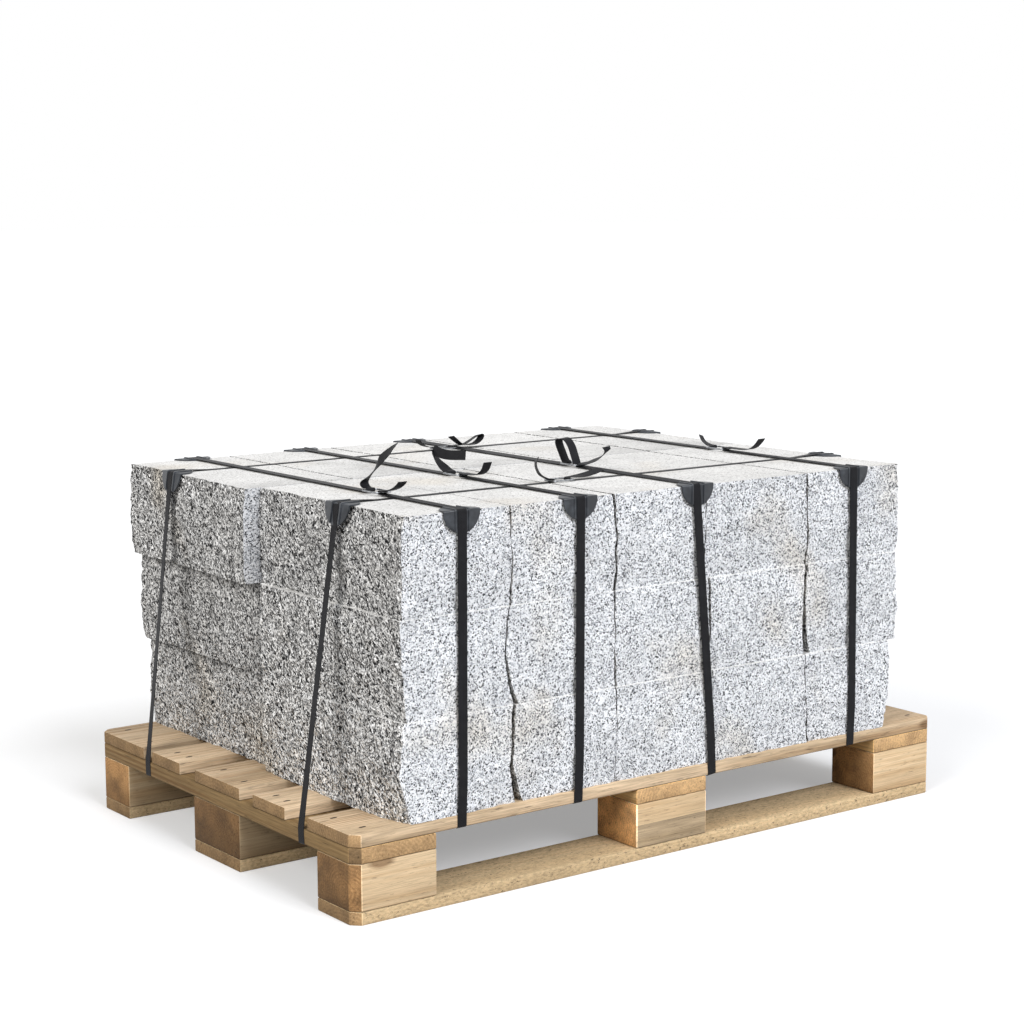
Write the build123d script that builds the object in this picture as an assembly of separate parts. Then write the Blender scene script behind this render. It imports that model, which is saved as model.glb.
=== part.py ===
from build123d import *
import math
import os
import random

# Strapped pallet of granite kerb blocks, in millimetres.
# The origin is in the middle of the pallet's underside. X runs along the pallet, Y across it
# and Z up. "Near" is the -Y side, "far" the +Y side, "left" the -X end.

# Pallet: overall sizes and the layers from the floor up
pallet_length = 1200
pallet_width = 800
bottom_board_thickness = 20
block_height = 71
stringer_thickness = 24
deck_thickness = 20
pallet_corner_chamfer = 13

# Pallet: rows of blocks along X and their widths across Y
block_length = 145
outer_row_width = 100
middle_row_width = 145

# Pallet: gaps between the deck boards, nailed down unevenly, from the near side to the far side
near_board_gap = 64
near_inner_board_gap = 40
far_inner_board_gap = 50
far_board_gap = 28

# Kerbs: the stack and its courses
kerb_height = 151
left_margin = 80
right_margin = 104
stack_overhang = 4
kerb_joint = 1

# Kerbs: how far the split sides fall back from the largest outline of a kerb
split_relief = 6
end_relief = 9
joint_opening = 10
corner_chip = 5
split_yaw_limit = 0.5
chip_lean_limit = 5
chip_turn_range = (25, 65)
kerb_seed = 41

# Kerbs: the left end of the stack is uneven
top_far_step = 20
top_far_turn = 2.3
top_near_set_back = 8
middle_far_set_back = 10
bottom_far_set_back = 22
bottom_right_set_back = 16

# Straps: flat plastic band
strap_width = 16
strap_thickness = 0.9
strap_clearance = 0.3

# Straps: how far a leaning strap's foot stands from its top
cross_strap_3_lean = 40
cross_strap_4_lean = 8
long_strap_near_lean = -22
long_strap_far_lean = -20
strap_side_room = 3.5

# Edge protectors: moulded plastic angles with round flaps
protector_width = 65
protector_thickness = 2.5
rib_width = 3
rib_height = 1.8
rib_end_margin = 1
channel_side_room = 2.5

# Buckles: bent wire rings that the strap ends hook round
wire_diameter = 3
wire_sides = 8
buckle_length = 42
buckle_side_room = 7
buckle_corner_radius = 6

# Strap tails: one length sets the size of all the free ends
tail_length = 100

# Cuts run past the faces that they open
overrun = 20

# Joints between kerbs from the bottom course up, as shares of the stack's length from its left end
near_joint_shares = (
    (0.202, 0.397, 0.594, 0.792),
    (0.191, 0.393, 0.586, 0.792),
    (0.197, 0.389, 0.577, 0.789),
)
far_joint_shares = (
    (0.179, 0.384, 0.591, 0.797),
    (0.176, 0.388, 0.588, 0.793),
    (0.180, 0.386, 0.590, 0.795),
)

# How far each joint opens at the foot of its course, from the bottom course up
near_opening_shares = ((0.9, 0.1, 0.25, 0.2), (0.45, 0.15, 0.4, 0.85), (0.1, 0.25, 0.3, 0.2))
far_opening_shares = ((0.2, 0.5, 0.1, 0.3), (0.3, 0.1, 0.4, 0.2), (0.2, 0.2, 0.1, 0.3))
joint_seat_share = 0.08

# Split sides: where the belly lies in the height, and how far the edges fall back from it
belly_shares = (0.35, 0.65)
bottom_fall_shares = (0.6, 1)
top_fall_shares = (0, 0.5)
chip_shares = (0.25, 1)

# Widths of the deck boards from the near side, as shares of what the gaps leave
deck_board_shares = (0.204, 0.155, 0.230, 0.155, 0.256)

# Cross straps from the middle of the pallet, as shares of half its length
cross_1_place_share = -0.683
cross_2_place_share = -0.318
cross_4_place_share = 0.647

# Foot of each long strap in the room that its gap between the deck boards leaves
near_foot_share = 0.2
far_foot_share = 0.5

# Free ends of each strap, first the one towards the lower coordinate. Each is a flat run, a
# curl's radius and a straight end, as shares of the tail length, with the curl's turn.
cross_1_tail_shares = ((0.06, 0.55, 0.02), (0.08, 0.08, 1.02))
cross_1_tail_turns = (46, 142)
cross_2_tail_shares = ((0.38, 0.28, 0.03), (0.35, 0.15, 0.75))
cross_2_tail_turns = (75, 178)
cross_3_tail_shares = ((0.25, 0.45, 0.02), (0.04, 0.20, 0.30))
cross_3_tail_turns = (75, 250)
cross_4_tail_shares = ((0.48, 0.52, 0.02), (0.03, 0.33, 0.02))
cross_4_tail_turns = (55, 58)
near_tail_shares = ((0.02, 0.27, 0.03), (0.20, 1.50, 0.02))
near_tail_turns = (105, 18)
far_tail_shares = ((0.02, 0.37, 0.02), (0.28, 0.30, 0.30))
far_tail_turns = (62, 40)

# Middle of each buckle along its strap, as a share of half the stack's depth or length
cross_buckle_shares = (-0.448, -0.210, -0.240, -0.186)
near_buckle_share = -0.189
far_buckle_share = 0.030

# Heights that follow from the layers
block_top = bottom_board_thickness + block_height
stringer_top = block_top + stringer_thickness
deck_top = stringer_top + deck_thickness
stack_top = deck_top + 3 * kerb_height
half_length = pallet_length / 2
half_width = pallet_width / 2
half_depth = half_width + stack_overhang
stack_left = -half_length + left_margin
stack_right = half_length - right_margin
stack_length = stack_right - stack_left
top_far_edge = stack_left - top_far_step


def deck_places():
    """Return the lower and upper Y of the five deck boards, with their names."""
    gaps = (near_board_gap, near_inner_board_gap, far_inner_board_gap, far_board_gap)
    board_room = pallet_width - sum(gaps)
    names = ("near", "near_inner", "middle", "far_inner", "far")
    places = {}
    start = -half_width
    for name, share, gap in zip(names, deck_board_shares, gaps + (0,)):
        places[name] = (start, start + share * board_room)
        start += share * board_room + gap
    return places


def cross_places():
    """Return the top and foot X of the four cross straps."""
    beside_stringer = block_length / 2 + strap_side_room + strap_width / 2
    last = cross_4_place_share * half_length
    return (
        (cross_1_place_share * half_length, cross_1_place_share * half_length),
        (cross_2_place_share * half_length, cross_2_place_share * half_length),
        (beside_stringer - cross_strap_3_lean, beside_stringer),
        (last, last + cross_strap_4_lean),
    )


def long_places():
    """Return the top and foot Y of the near and far long straps, which pass between deck boards."""
    boards = deck_places()
    near_foot = boards["near"][1] + strap_width / 2 + near_foot_share * (near_board_gap - strap_width)
    far_foot = boards["far"][0] - strap_width / 2 - far_foot_share * (far_board_gap - strap_width)
    return {
        "near": (near_foot - long_strap_near_lean, near_foot),
        "far": (far_foot - long_strap_far_lean, far_foot),
    }


def left_edges():
    """Return the X of the top left edges that the near and far long straps go over."""
    far_inward = long_places()["far"][0] - kerb_joint / 2
    return {
        "near": stack_left + top_near_set_back,
        "far": top_far_edge + far_inward * math.tan(math.radians(top_far_turn)),
    }


def save(shape, name):
    """Write one piece, or one set of like pieces, to its own file."""
    export_step(shape, f"parts/{name}.step")


def block_between(low, high):
    """Return a box between two corners."""
    size = [b - a for a, b in zip(low, high)]
    return Pos(*low) * Box(*size, align=(Align.MIN, Align.MIN, Align.MIN))


def chamfer_corners(board, corners):
    """Chamfer the upright edges of a board that stand at the given corners of the pallet."""
    edges = []
    for edge in board.edges().filter_by(Axis.Z):
        middle = edge.center()
        for sign_x, sign_y in corners:
            reach = Vector(sign_x * half_length, sign_y * half_width, middle.Z)
            if (middle - reach).length < pallet_corner_chamfer:
                edges.append(edge)
    return chamfer(edges, pallet_corner_chamfer) if edges else board


def row_places():
    """Return the lower and upper Y of the three rows of blocks, with their names."""
    return {
        "near": (-half_width, -half_width + outer_row_width),
        "middle": (-middle_row_width / 2, middle_row_width / 2),
        "far": (half_width - outer_row_width, half_width),
    }


def column_places():
    """Return the lower and upper X of the three columns of blocks, with their names."""
    return {
        "left": (-half_length, -half_length + block_length),
        "middle": (-block_length / 2, block_length / 2),
        "right": (half_length - block_length, half_length),
    }


def make_pallet():
    """Write the boards and blocks of the pallet, layer by layer."""
    corners = [(sx, sy) for sx in (-1, 1) for sy in (-1, 1)]
    for row, (y_low, y_high) in row_places().items():
        board = block_between((-half_length, y_low, 0), (half_length, y_high, bottom_board_thickness))
        save(chamfer_corners(board, corners), f"bottom_board_{row}")
        for column, (x_low, x_high) in column_places().items():
            block = block_between((x_low, y_low, bottom_board_thickness), (x_high, y_high, block_top))
            save(chamfer_corners(block, corners), f"block_{column}_{row}")
    for column, (x_low, x_high) in column_places().items():
        board = block_between((x_low, -half_width, block_top), (x_high, half_width, stringer_top))
        save(chamfer_corners(board, corners), f"stringer_{column}")
    for name, (y_low, y_high) in deck_places().items():
        board = block_between((-half_length, y_low, stringer_top), (half_length, y_high, deck_top))
        save(chamfer_corners(board, corners), f"deck_board_{name}")


def cut_away(block, point, normal):
    """Cut off what lies on the outer side of a plane."""
    return split(block, bisect_by=Plane(origin=point, z_dir=normal), keep=Keep.BOTTOM)


def split_side(block, rng, low, high, axis, sign, top_fall, bottom_fall):
    """Split one side of a kerb along two slightly turned planes that meet in a belly.

    top_fall and bottom_fall say how far the side falls back at its upper and lower edge.
    """
    yaw = math.radians(rng.uniform(-split_yaw_limit, split_yaw_limit))
    belly_share = rng.uniform(*belly_shares)
    outward = Vector(sign, 0, 0) if axis == 0 else Vector(0, sign, 0)
    outward = outward.rotate(Axis.Z, math.degrees(yaw))
    point = [(a + b) / 2 for a, b in zip(low, high)]
    point[axis] = high[axis] if sign > 0 else low[axis]
    height = high[2] - low[2]
    swing = abs(math.tan(yaw)) * (high[1 - axis] - low[1 - axis]) / 2
    point[axis] -= sign * swing
    point[2] = low[2] + belly_share * height
    for fall, rise, side in ((bottom_fall, belly_share, -1), (top_fall, 1 - belly_share, 1)):
        lean = math.atan2(fall, rise * height)
        normal = outward * math.cos(lean) + Vector(0, 0, side * math.sin(lean))
        block = cut_away(block, point, normal)
    return block


def chip_corner(block, rng, low, high, sign_x, sign_y):
    """Break off one upright corner of a kerb along a leaning plane."""
    reach = corner_chip * rng.uniform(*chip_shares)
    lean = math.radians(rng.uniform(-chip_lean_limit, chip_lean_limit))
    turn = math.radians(rng.uniform(*chip_turn_range))
    outward = Vector(sign_x * math.cos(turn), sign_y * math.sin(turn), math.tan(lean))
    corner = Vector(
        high[0] if sign_x > 0 else low[0],
        high[1] if sign_y > 0 else low[1],
        (low[2] + high[2]) / 2,
    )
    return cut_away(block, corner - outward.normalized() * reach, outward)


def kerb(rng, low, high, top_course, left_opening, right_opening):
    """Return one kerb block: sawn top and bottom beds and four split sides inside a box.

    An opening is how far a joint with the next kerb opens at its foot. None marks an end of the
    stack, where the split side shows. The top course keeps straight upper edges.
    """
    block = block_between(low, high)
    for sign, opening in ((-1, left_opening), (1, right_opening)):
        end_fall = end_relief * rng.uniform(*bottom_fall_shares)
        top_fall = 0 if top_course else end_relief * rng.uniform(*top_fall_shares)
        if opening is not None:
            end_fall = opening
            top_fall = joint_seat_share * joint_opening
        block = split_side(block, rng, low, high, 0, sign, top_fall, end_fall)
    for sign in (-1, 1):
        top_fall = 0 if top_course else split_relief * rng.uniform(*top_fall_shares)
        bottom_fall = split_relief * rng.uniform(*bottom_fall_shares)
        block = split_side(block, rng, low, high, 1, sign, top_fall, bottom_fall)
    for sign_x in (-1, 1):
        for sign_y in (-1, 1):
            block = chip_corner(block, rng, low, high, sign_x, sign_y)
    return block


def end_places(course, side):
    """Return where a course starts and ends along X on the near or far side."""
    starts = {
        ("bottom", "near"): stack_left,
        ("middle", "near"): stack_left,
        ("top", "near"): stack_left + top_near_set_back,
        ("bottom", "far"): stack_left + bottom_far_set_back,
        ("middle", "far"): stack_left + middle_far_set_back,
        ("top", "far"): top_far_edge,
    }
    return starts[course, side], stack_right - (bottom_right_set_back if course == "bottom" else 0)


def joint_places(course, side, shares):
    """Return the X of the two ends and four joints of one row of kerbs."""
    start, end = end_places(course, side)
    return [start] + [stack_left + share * stack_length for share in shares] + [end]


def make_kerbs():
    """Write the kerb blocks, three courses of two rows of five."""
    rng = random.Random(kerb_seed)
    rows = (
        ("near", near_joint_shares, near_opening_shares, -half_depth, -kerb_joint / 2),
        ("far", far_joint_shares, far_opening_shares, kerb_joint / 2, half_depth),
    )
    seat = joint_seat_share * joint_opening
    for level, course in enumerate(("bottom", "middle", "top")):
        z_low = deck_top + level * kerb_height
        for side, shares, opening_shares, y_low, y_high in rows:
            joints = joint_places(course, side, shares[level])
            openings = [share * joint_opening for share in opening_shares[level]] + [None]
            for number, (x_low, x_high) in enumerate(zip(joints, joints[1:]), 1):
                first = number == 1
                last = number == len(openings)
                low = (x_low + (0 if first else kerb_joint / 2), y_low, z_low)
                high = (x_high - (0 if last else kerb_joint / 2), y_high, z_low + kerb_height)
                left_opening = None if first else seat
                block = kerb(rng, low, high, course == "top", left_opening, openings[number - 1])
                if first and course == "top" and side == "far":
                    block = turn_end(block, low)
                save(block, f"kerb_{course}_{side}_{number}")


def turn_end(block, low):
    """Cut the left end of the turned kerb square to its own length."""
    turn = math.radians(top_far_turn)
    return cut_away(block, low, Vector(-math.cos(turn), math.sin(turn), 0))


def strip(line):
    """Return the thin face that a strap's edge covers along a line."""
    return trace(line, line_width=strap_thickness)


def tail(start, height, sign, shares, turn):
    """Return the edge of a free strap end: a flat run, a curl and a straight end."""
    flat, radius, end = [share * tail_length for share in shares]
    run = Line((start, height), (start + sign * flat, height))
    curl = JernArc(run @ 1, (sign, 0), radius, sign * turn)
    tip = Line(curl @ 1, (curl @ 1) + (curl % 1) * end)
    return strip(run) + strip(curl) + strip(tip)


def hook(bar, top, sign):
    """Return the edge of the strap where it turns round one bar of the buckle."""
    radius = wire_diameter / 2 + strap_clearance + strap_thickness / 2
    turn = JernArc((bar, top - strap_thickness / 2), (-sign, 0), radius, -sign * 180)
    return strip(turn), top - strap_thickness / 2 + 2 * radius


def strap(outline, top, buckle, tail_shares, tail_turns, frame, seat):
    """Return one strap: a loop round the load whose two ends hook round a buckle.

    outline holds the corners of the load that the strap goes round, top is the upper level of
    that outline, buckle the middle of its buckle, frame the plane of the loop and seat the room
    that the strap leaves to what it goes round.
    """
    load = make_face(Polyline(*outline, close=True))
    inner = offset(load, seat, kind=Kind.ARC)
    outer = offset(load, seat + strap_thickness, kind=Kind.ARC)
    edge = outer - inner
    level = top + seat + strap_thickness
    half = buckle_length / 2 - wire_diameter / 2
    edge -= Pos(buckle, level) * Rectangle(2 * half, overrun)
    for sign, shares, turn in zip((-1, 1), tail_shares, tail_turns):
        bend, height = hook(buckle + sign * half, level, sign)
        edge += bend
        edge += tail(buckle + sign * half, height, sign, shares, turn)
    return extrude(frame * edge, strap_width / 2, both=True)


def buckle_ring(frame, top, buckle, seat):
    """Return one wire buckle, lying in the hooks of its strap."""
    ring_width = strap_width + 2 * buckle_side_room
    level = top + seat + strap_thickness + strap_clearance + wire_diameter / 2
    length = buckle_length - wire_diameter
    path = RectangleRounded(length, ring_width, buckle_corner_radius).wire()
    start = Plane(origin=path @ 0, z_dir=path % 0)
    ring = sweep(start * RegularPolygon(wire_diameter / 2, wire_sides), path)
    flat = Plane(origin=frame.from_local_coords((buckle, level, 0)), x_dir=frame.x_dir, z_dir=frame.y_dir)
    return flat * ring


def cross_frame(top_place, foot_place):
    """Return the plane of a cross strap, its lean factor and the seat that its lean needs."""
    lean = math.atan2(foot_place - top_place, stack_top - stringer_top)
    rise = math.cos(lean)
    origin = (top_place + math.tan(lean) * stack_top, 0, 0)
    frame = Plane(origin=origin, x_dir=(0, 1, 0), z_dir=(rise, 0, math.sin(lean)))
    return frame, rise, strap_clearance + abs(math.sin(lean)) * strap_width / 2


def long_frame(top_place, foot_place):
    """Return the plane of a long strap, its lean factor and the seat that its lean needs."""
    lean = math.atan2(foot_place - top_place, stack_top - stringer_top)
    rise = math.cos(lean)
    origin = (0, top_place + math.tan(lean) * stack_top, 0)
    frame = Plane(origin=origin, x_dir=(1, 0, 0), z_dir=(0, -rise, -math.sin(lean)))
    return frame, rise, strap_clearance + abs(math.sin(lean)) * strap_width / 2


def make_straps():
    """Write the six straps and the set of buckles."""
    top = stack_top + protector_thickness
    reach = half_depth + protector_thickness
    belly = deck_top + belly_shares[0] * kerb_height
    cross_tails = (
        (cross_1_tail_shares, cross_1_tail_turns),
        (cross_2_tail_shares, cross_2_tail_turns),
        (cross_3_tail_shares, cross_3_tail_turns),
        (cross_4_tail_shares, cross_4_tail_turns),
    )
    buckles = []
    straps = zip(cross_places(), cross_tails, cross_buckle_shares)
    for number, (places, tails, buckle_share) in enumerate(straps, 1):
        frame, rise, seat = cross_frame(*places)
        outline = [
            (-reach, top / rise),
            (reach, top / rise),
            (half_depth, belly / rise),
            (half_width, stringer_top / rise),
            (-half_width, stringer_top / rise),
            (-half_depth, belly / rise),
        ]
        middle = buckle_share * half_depth
        save(strap(outline, top / rise, middle, *tails, frame, seat), f"cross_strap_{number}")
        buckles.append(buckle_ring(frame, top / rise, middle, seat))
    long_ends = {
        "near": (near_buckle_share, near_tail_shares, near_tail_turns),
        "far": (far_buckle_share, far_tail_shares, far_tail_turns),
    }
    upper = top + 2 * (strap_thickness + strap_clearance)
    for side, places in long_places().items():
        frame, rise, seat = long_frame(*places)
        outline = [
            (left_edges()[side] - protector_thickness, upper / rise),
            (stack_right + protector_thickness, upper / rise),
            (half_length, stringer_top / rise),
            (half_length, block_top / rise),
            (-half_length, block_top / rise),
            (-half_length, stringer_top / rise),
        ]
        buckle_share, *tails = long_ends[side]
        middle = buckle_share * stack_length / 2
        save(strap(outline, upper / rise, middle, *tails, frame, seat), f"long_strap_{side}")
        buckles.append(buckle_ring(frame, upper / rise, middle, seat))
    save(Compound(children=buckles), "wire_buckles")


def flap_lean(edge):
    """Return how far a long strap leans out between a top edge of the load and the pallet's end."""
    return math.degrees(math.atan2(half_length - abs(edge), stack_top - stringer_top))


def protector(lean):
    """Return one edge protector at the origin, its edge along X and its face flap towards -Y.

    lean is how far the strap draws the face flap out from upright.
    """
    radius = protector_width / 2
    half_disc = Circle(radius) & Pos(0, radius / 2) * Rectangle(protector_width, radius)
    top_flap = extrude(half_disc, protector_thickness)
    face = Plane(origin=(0, 0, 0), x_dir=(1, 0, 0), z_dir=(0, -1, 0))
    face_flap = extrude(face * mirror(half_disc, Plane.XZ), protector_thickness)
    corner = Rot(0, 90, 0) * Cylinder(protector_thickness, protector_width)
    corner &= block_between((-radius, -protector_thickness, 0), (radius, 0, protector_thickness))
    lie = Rot(-lean, 0, 0)
    body = top_flap + lie * face_flap + corner
    rib_place = strap_width / 2 + channel_side_room + rib_width / 2
    rib_length = math.sqrt(radius**2 - (rib_place + rib_width / 2) ** 2) - rib_end_margin
    raised = protector_thickness + rib_height
    for sign in (-1, 1):
        x_low = sign * rib_place - rib_width / 2
        x_high = sign * rib_place + rib_width / 2
        body += block_between((x_low, 0, 0), (x_high, rib_length, raised))
        body += lie * block_between((x_low, -raised, -rib_length), (x_high, 0, 0))
        bend = Pos(sign * rib_place, 0, 0) * Rot(0, 90, 0) * Cylinder(raised, rib_width)
        body += bend & block_between((x_low, -raised, 0), (x_high, 0, raised))
    return body


def make_protectors():
    """Write the protectors under the cross straps and those under the long straps."""
    one = protector(0)
    cross = []
    for place, _ in cross_places():
        cross.append(Pos(place, -half_depth, stack_top) * one)
        cross.append(Pos(place, half_depth, stack_top) * Rot(0, 0, 180) * one)
    save(Compound(children=cross), "edge_protectors_cross")
    ends = []
    turns = {"near": 0, "far": top_far_turn}
    right_end = protector(flap_lean(stack_right))
    for side, (place, _) in long_places().items():
        edge = left_edges()[side]
        left_end = protector(flap_lean(edge))
        ends.append(Pos(edge, place, stack_top) * Rot(0, 0, -90 - turns[side]) * left_end)
        ends.append(Pos(stack_right, place, stack_top) * Rot(0, 0, 90) * right_end)
    save(Compound(children=ends), "edge_protectors_long")


os.makedirs("parts", exist_ok=True)
make_pallet()
make_kerbs()
make_straps()
make_protectors()
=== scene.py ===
"""Looks of a strapped pallet of granite kerbs: split stone, pine boards, plastic band and wire."""

import logging
import math
import random
from collections.abc import Sequence
from dataclasses import dataclass, replace
from enum import Enum, IntEnum

import bmesh
import bpy
from mathutils import Matrix, Vector, geometry, noise
from mathutils.bvhtree import BVHTree


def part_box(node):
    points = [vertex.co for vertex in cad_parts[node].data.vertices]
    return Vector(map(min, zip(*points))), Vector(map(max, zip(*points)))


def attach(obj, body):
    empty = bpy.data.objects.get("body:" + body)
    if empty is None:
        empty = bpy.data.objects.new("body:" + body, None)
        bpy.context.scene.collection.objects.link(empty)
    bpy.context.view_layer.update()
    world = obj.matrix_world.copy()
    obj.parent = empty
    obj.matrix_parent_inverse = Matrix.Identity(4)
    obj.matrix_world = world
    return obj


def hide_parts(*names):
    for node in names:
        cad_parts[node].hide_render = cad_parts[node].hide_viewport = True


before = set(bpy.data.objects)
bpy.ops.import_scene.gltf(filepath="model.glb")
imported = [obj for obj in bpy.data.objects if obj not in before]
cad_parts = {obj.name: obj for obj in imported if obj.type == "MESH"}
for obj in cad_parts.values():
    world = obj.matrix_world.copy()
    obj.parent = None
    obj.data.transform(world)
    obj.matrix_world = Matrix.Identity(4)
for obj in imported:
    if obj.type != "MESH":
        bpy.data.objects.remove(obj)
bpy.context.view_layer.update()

MM = 0.001
BODY = "root"
LOG = logging.getLogger("kerb_pallet")

Colour = tuple[float, float, float, float]
Socket = bpy.types.NodeSocket

# How near two points of a frame node lie to be one, and how far two faces turn to be one
WELD = 0.005 * MM
FLAT_TURN = math.radians(0.5)

# How near to its edge a point of a block lies to be on it, as a share of the block
ON_EDGE = 0.001


def linear(code: str) -> Colour:
    """Turn an sRGB hex colour into linear light.

    Args:
        code: a hash sign and six hex digits.

    Returns:
        Linear red, green and blue, and full alpha.
    """
    channels = [int(code[start : start + 2], 16) / 255 for start in (1, 3, 5)]
    lights = [c / 12.92 if c <= 0.04045 else ((c + 0.055) / 1.055) ** 2.4 for c in channels]
    return (*lights, 1.0)


def grey(level: float) -> Colour:
    """Return a neutral linear colour of one level."""
    return (level, level, level, 1.0)


def add_node(
    tree: bpy.types.NodeTree,
    kind: str,
    links: dict | None = None,
    values: dict | None = None,
    stops: Sequence[tuple[float, Colour]] = (),
    steps: str = "LINEAR",
    **settings: object,
) -> bpy.types.Node:
    """Add a node with its settings, values and links.

    Args:
        tree: the node tree that gets the node.
        kind: the node's type name.
        links: output sockets by the name or number of the input that they feed.
        values: values by the name or number of the input that they set.
        stops: places and colours of a colour ramp.
        steps: how the ramp goes from stop to stop.
        settings: the node's own properties.

    Returns:
        The new node.
    """
    node = tree.nodes.new(kind)
    for key, value in settings.items():
        setattr(node, key, value)
    for key, value in (values or {}).items():
        node.inputs[key].default_value = value
    for key, socket in (links or {}).items():
        tree.links.new(socket, node.inputs[key])
    for number, (place, colour) in enumerate(stops):
        ramp = node.color_ramp
        ramp.interpolation = steps
        if number >= len(ramp.elements):
            ramp.elements.new(place)
        ramp.elements[number].position = place
        ramp.elements[number].color = colour
    return node


@dataclass(frozen=True)
class NodeKit:
    """The patterns and operations that several finishes share, added to one node tree."""

    tree: bpy.types.NodeTree

    def place(self) -> Socket:
        """Return the point in Object coordinates."""
        return add_node(self.tree, "ShaderNodeTexCoord").outputs["Object"]

    def attribute(self, name: str, output: str = "Fac") -> Socket:
        """Return an attribute of the mesh."""
        return add_node(self.tree, "ShaderNodeAttribute", attribute_name=name).outputs[output]

    def mapped(self, place: Socket, values: dict, **settings: object) -> Socket:
        """Return a place that is turned or scaled."""
        node = add_node(self.tree, "ShaderNodeMapping", {"Vector": place}, values, **settings)
        return node.outputs["Vector"]

    def noise(
        self, place: Socket, size_mm: float, detail: float, rough: float = 0.5, output: str = "Fac"
    ) -> Socket:
        """Return the level, or the colour, of a noise of one size."""
        values = {"Scale": 1000 / size_mm, "Detail": detail, "Roughness": rough}
        return add_node(self.tree, "ShaderNodeTexNoise", {"Vector": place}, values).outputs[output]

    def cells(self, place: Socket, size_mm: float, output: str = "Color") -> Socket:
        """Return the colour, or the distance, of cells of one size."""
        values = {"Scale": 1000 / size_mm}
        return add_node(self.tree, "ShaderNodeTexVoronoi", {"Vector": place}, values).outputs[output]

    def waves(self, place: Socket, gap_mm: float, values: dict, **settings: object) -> Socket:
        """Return the level of waves that lie a gap apart, where the bare node's lie 2 pi / 20."""
        values = {"Scale": 2 * math.pi / (20 * gap_mm * MM)} | values
        node = add_node(self.tree, "ShaderNodeTexWave", {"Vector": place}, values, **settings)
        return node.outputs["Fac"]

    def channel(self, colour: Socket, name: str) -> Socket:
        """Return one channel of a colour."""
        return add_node(self.tree, "ShaderNodeSeparateColor", {"Color": colour}).outputs[name]

    def level(
        self, value: Socket, band: tuple[float, float], levels: tuple[float, float] = (0.0, 1.0)
    ) -> Socket:
        """Return a level that runs between two levels while a value runs through a band."""
        values = {"From Min": band[0], "From Max": band[1], "To Min": levels[0], "To Max": levels[1]}
        return add_node(self.tree, "ShaderNodeMapRange", {"Value": value}, values).outputs["Result"]

    def joined(self, first: Socket, second: Socket, operation: str = "MULTIPLY") -> Socket:
        """Return two levels multiplied, or joined by another operation."""
        node = add_node(self.tree, "ShaderNodeMath", {0: first, 1: second}, operation=operation)
        return node.outputs["Value"]

    def vector(self, operation: str, links: dict, values: dict | None = None) -> Socket:
        """Return the outcome of an operation on vectors or colours."""
        node = add_node(self.tree, "ShaderNodeVectorMath", links, values, operation=operation)
        return node.outputs["Vector"]

    def ramp(self, level: Socket, stops: Sequence[tuple[float, Colour]], steps: str = "LINEAR") -> Socket:
        """Return the colour of a ramp at a level."""
        node = add_node(self.tree, "ShaderNodeValToRGB", {"Fac": level}, stops=stops, steps=steps)
        return node.outputs["Color"]

    def laid(self, share: Socket, under: Socket | str, over: str) -> Socket:
        """Lay a colour over another.

        Args:
            share: how much of it covers.
            under: the colour below, a socket or a hex code.
            over: the hex code of the colour above.

        Returns:
            The socket of the mixed colour.
        """
        plain = isinstance(under, str)
        links = {0: share} if plain else {0: share, 6: under}
        values = {6: linear(under), 7: linear(over)} if plain else {7: linear(over)}
        return add_node(self.tree, "ShaderNodeMix", links, values, data_type="RGBA").outputs[2]

    def bump(self, height: Socket, depth_mm: float, strength: float = 1.0) -> Socket:
        """Return the normal of a relief."""
        values = {"Strength": strength, "Distance": depth_mm * MM}
        return add_node(self.tree, "ShaderNodeBump", {"Height": height}, values).outputs["Normal"]

    def seen(self) -> Socket:
        """Return 1 for what the camera sees, straight or mirrored, and 0 for light that is thrown."""
        path = add_node(self.tree, "ShaderNodeLightPath").outputs
        return self.joined(path["Is Camera Ray"], path["Is Glossy Ray"], "MAXIMUM")

    def shade(self, links: dict[str, Socket], values: dict[str, object]) -> None:
        """Feed the material's shader.

        Args:
            links: sockets by the name of the shader's input.
            values: uniform values by the name of the shader's input.
        """
        shader = self.tree.nodes["Principled BSDF"]
        for key, socket in links.items():
            self.tree.links.new(socket, shader.inputs[key])
        for key, value in values.items():
            shader.inputs[key].default_value = value


def start_material(name: str) -> tuple[bpy.types.Material, NodeKit]:
    """Start a material.

    Args:
        name: what the real material is called.
    """
    material = bpy.data.materials.new(name)
    material.use_nodes = True
    return material, NodeKit(material.node_tree)


def merged_copy(node: str) -> bmesh.types.BMesh:
    """Return a copy of a frame node's mesh with its loose triangles joined into flat faces."""
    mesh = bmesh.new()
    mesh.from_mesh(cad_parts[node].data)
    bmesh.ops.remove_doubles(mesh, verts=mesh.verts, dist=WELD)
    bmesh.ops.dissolve_limit(mesh, angle_limit=FLAT_TURN, verts=mesh.verts, edges=mesh.edges)
    return mesh


def surface_of(node: str) -> BVHTree:
    """Return the surface of a frame node, to be searched with rays."""
    mesh = bmesh.new()
    mesh.from_mesh(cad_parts[node].data)
    tree = BVHTree.FromBMesh(mesh)
    mesh.free()
    return tree


def link_mesh(
    mesh: bmesh.types.BMesh, name: str, materials: Sequence[bpy.types.Material]
) -> bpy.types.Object:
    """Turn a bmesh into an object of the scene.

    Args:
        mesh: the shape in the shared frame, which is used up.
        name: the object's name.
        materials: its materials, in the order that its faces number them.

    Returns:
        The new object.
    """
    data = bpy.data.meshes.new(name)
    mesh.to_mesh(data)
    mesh.free()
    for material in materials:
        data.materials.append(material)
    piece = bpy.data.objects.new(name, data)
    bpy.context.scene.collection.objects.link(piece)
    return piece


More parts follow.
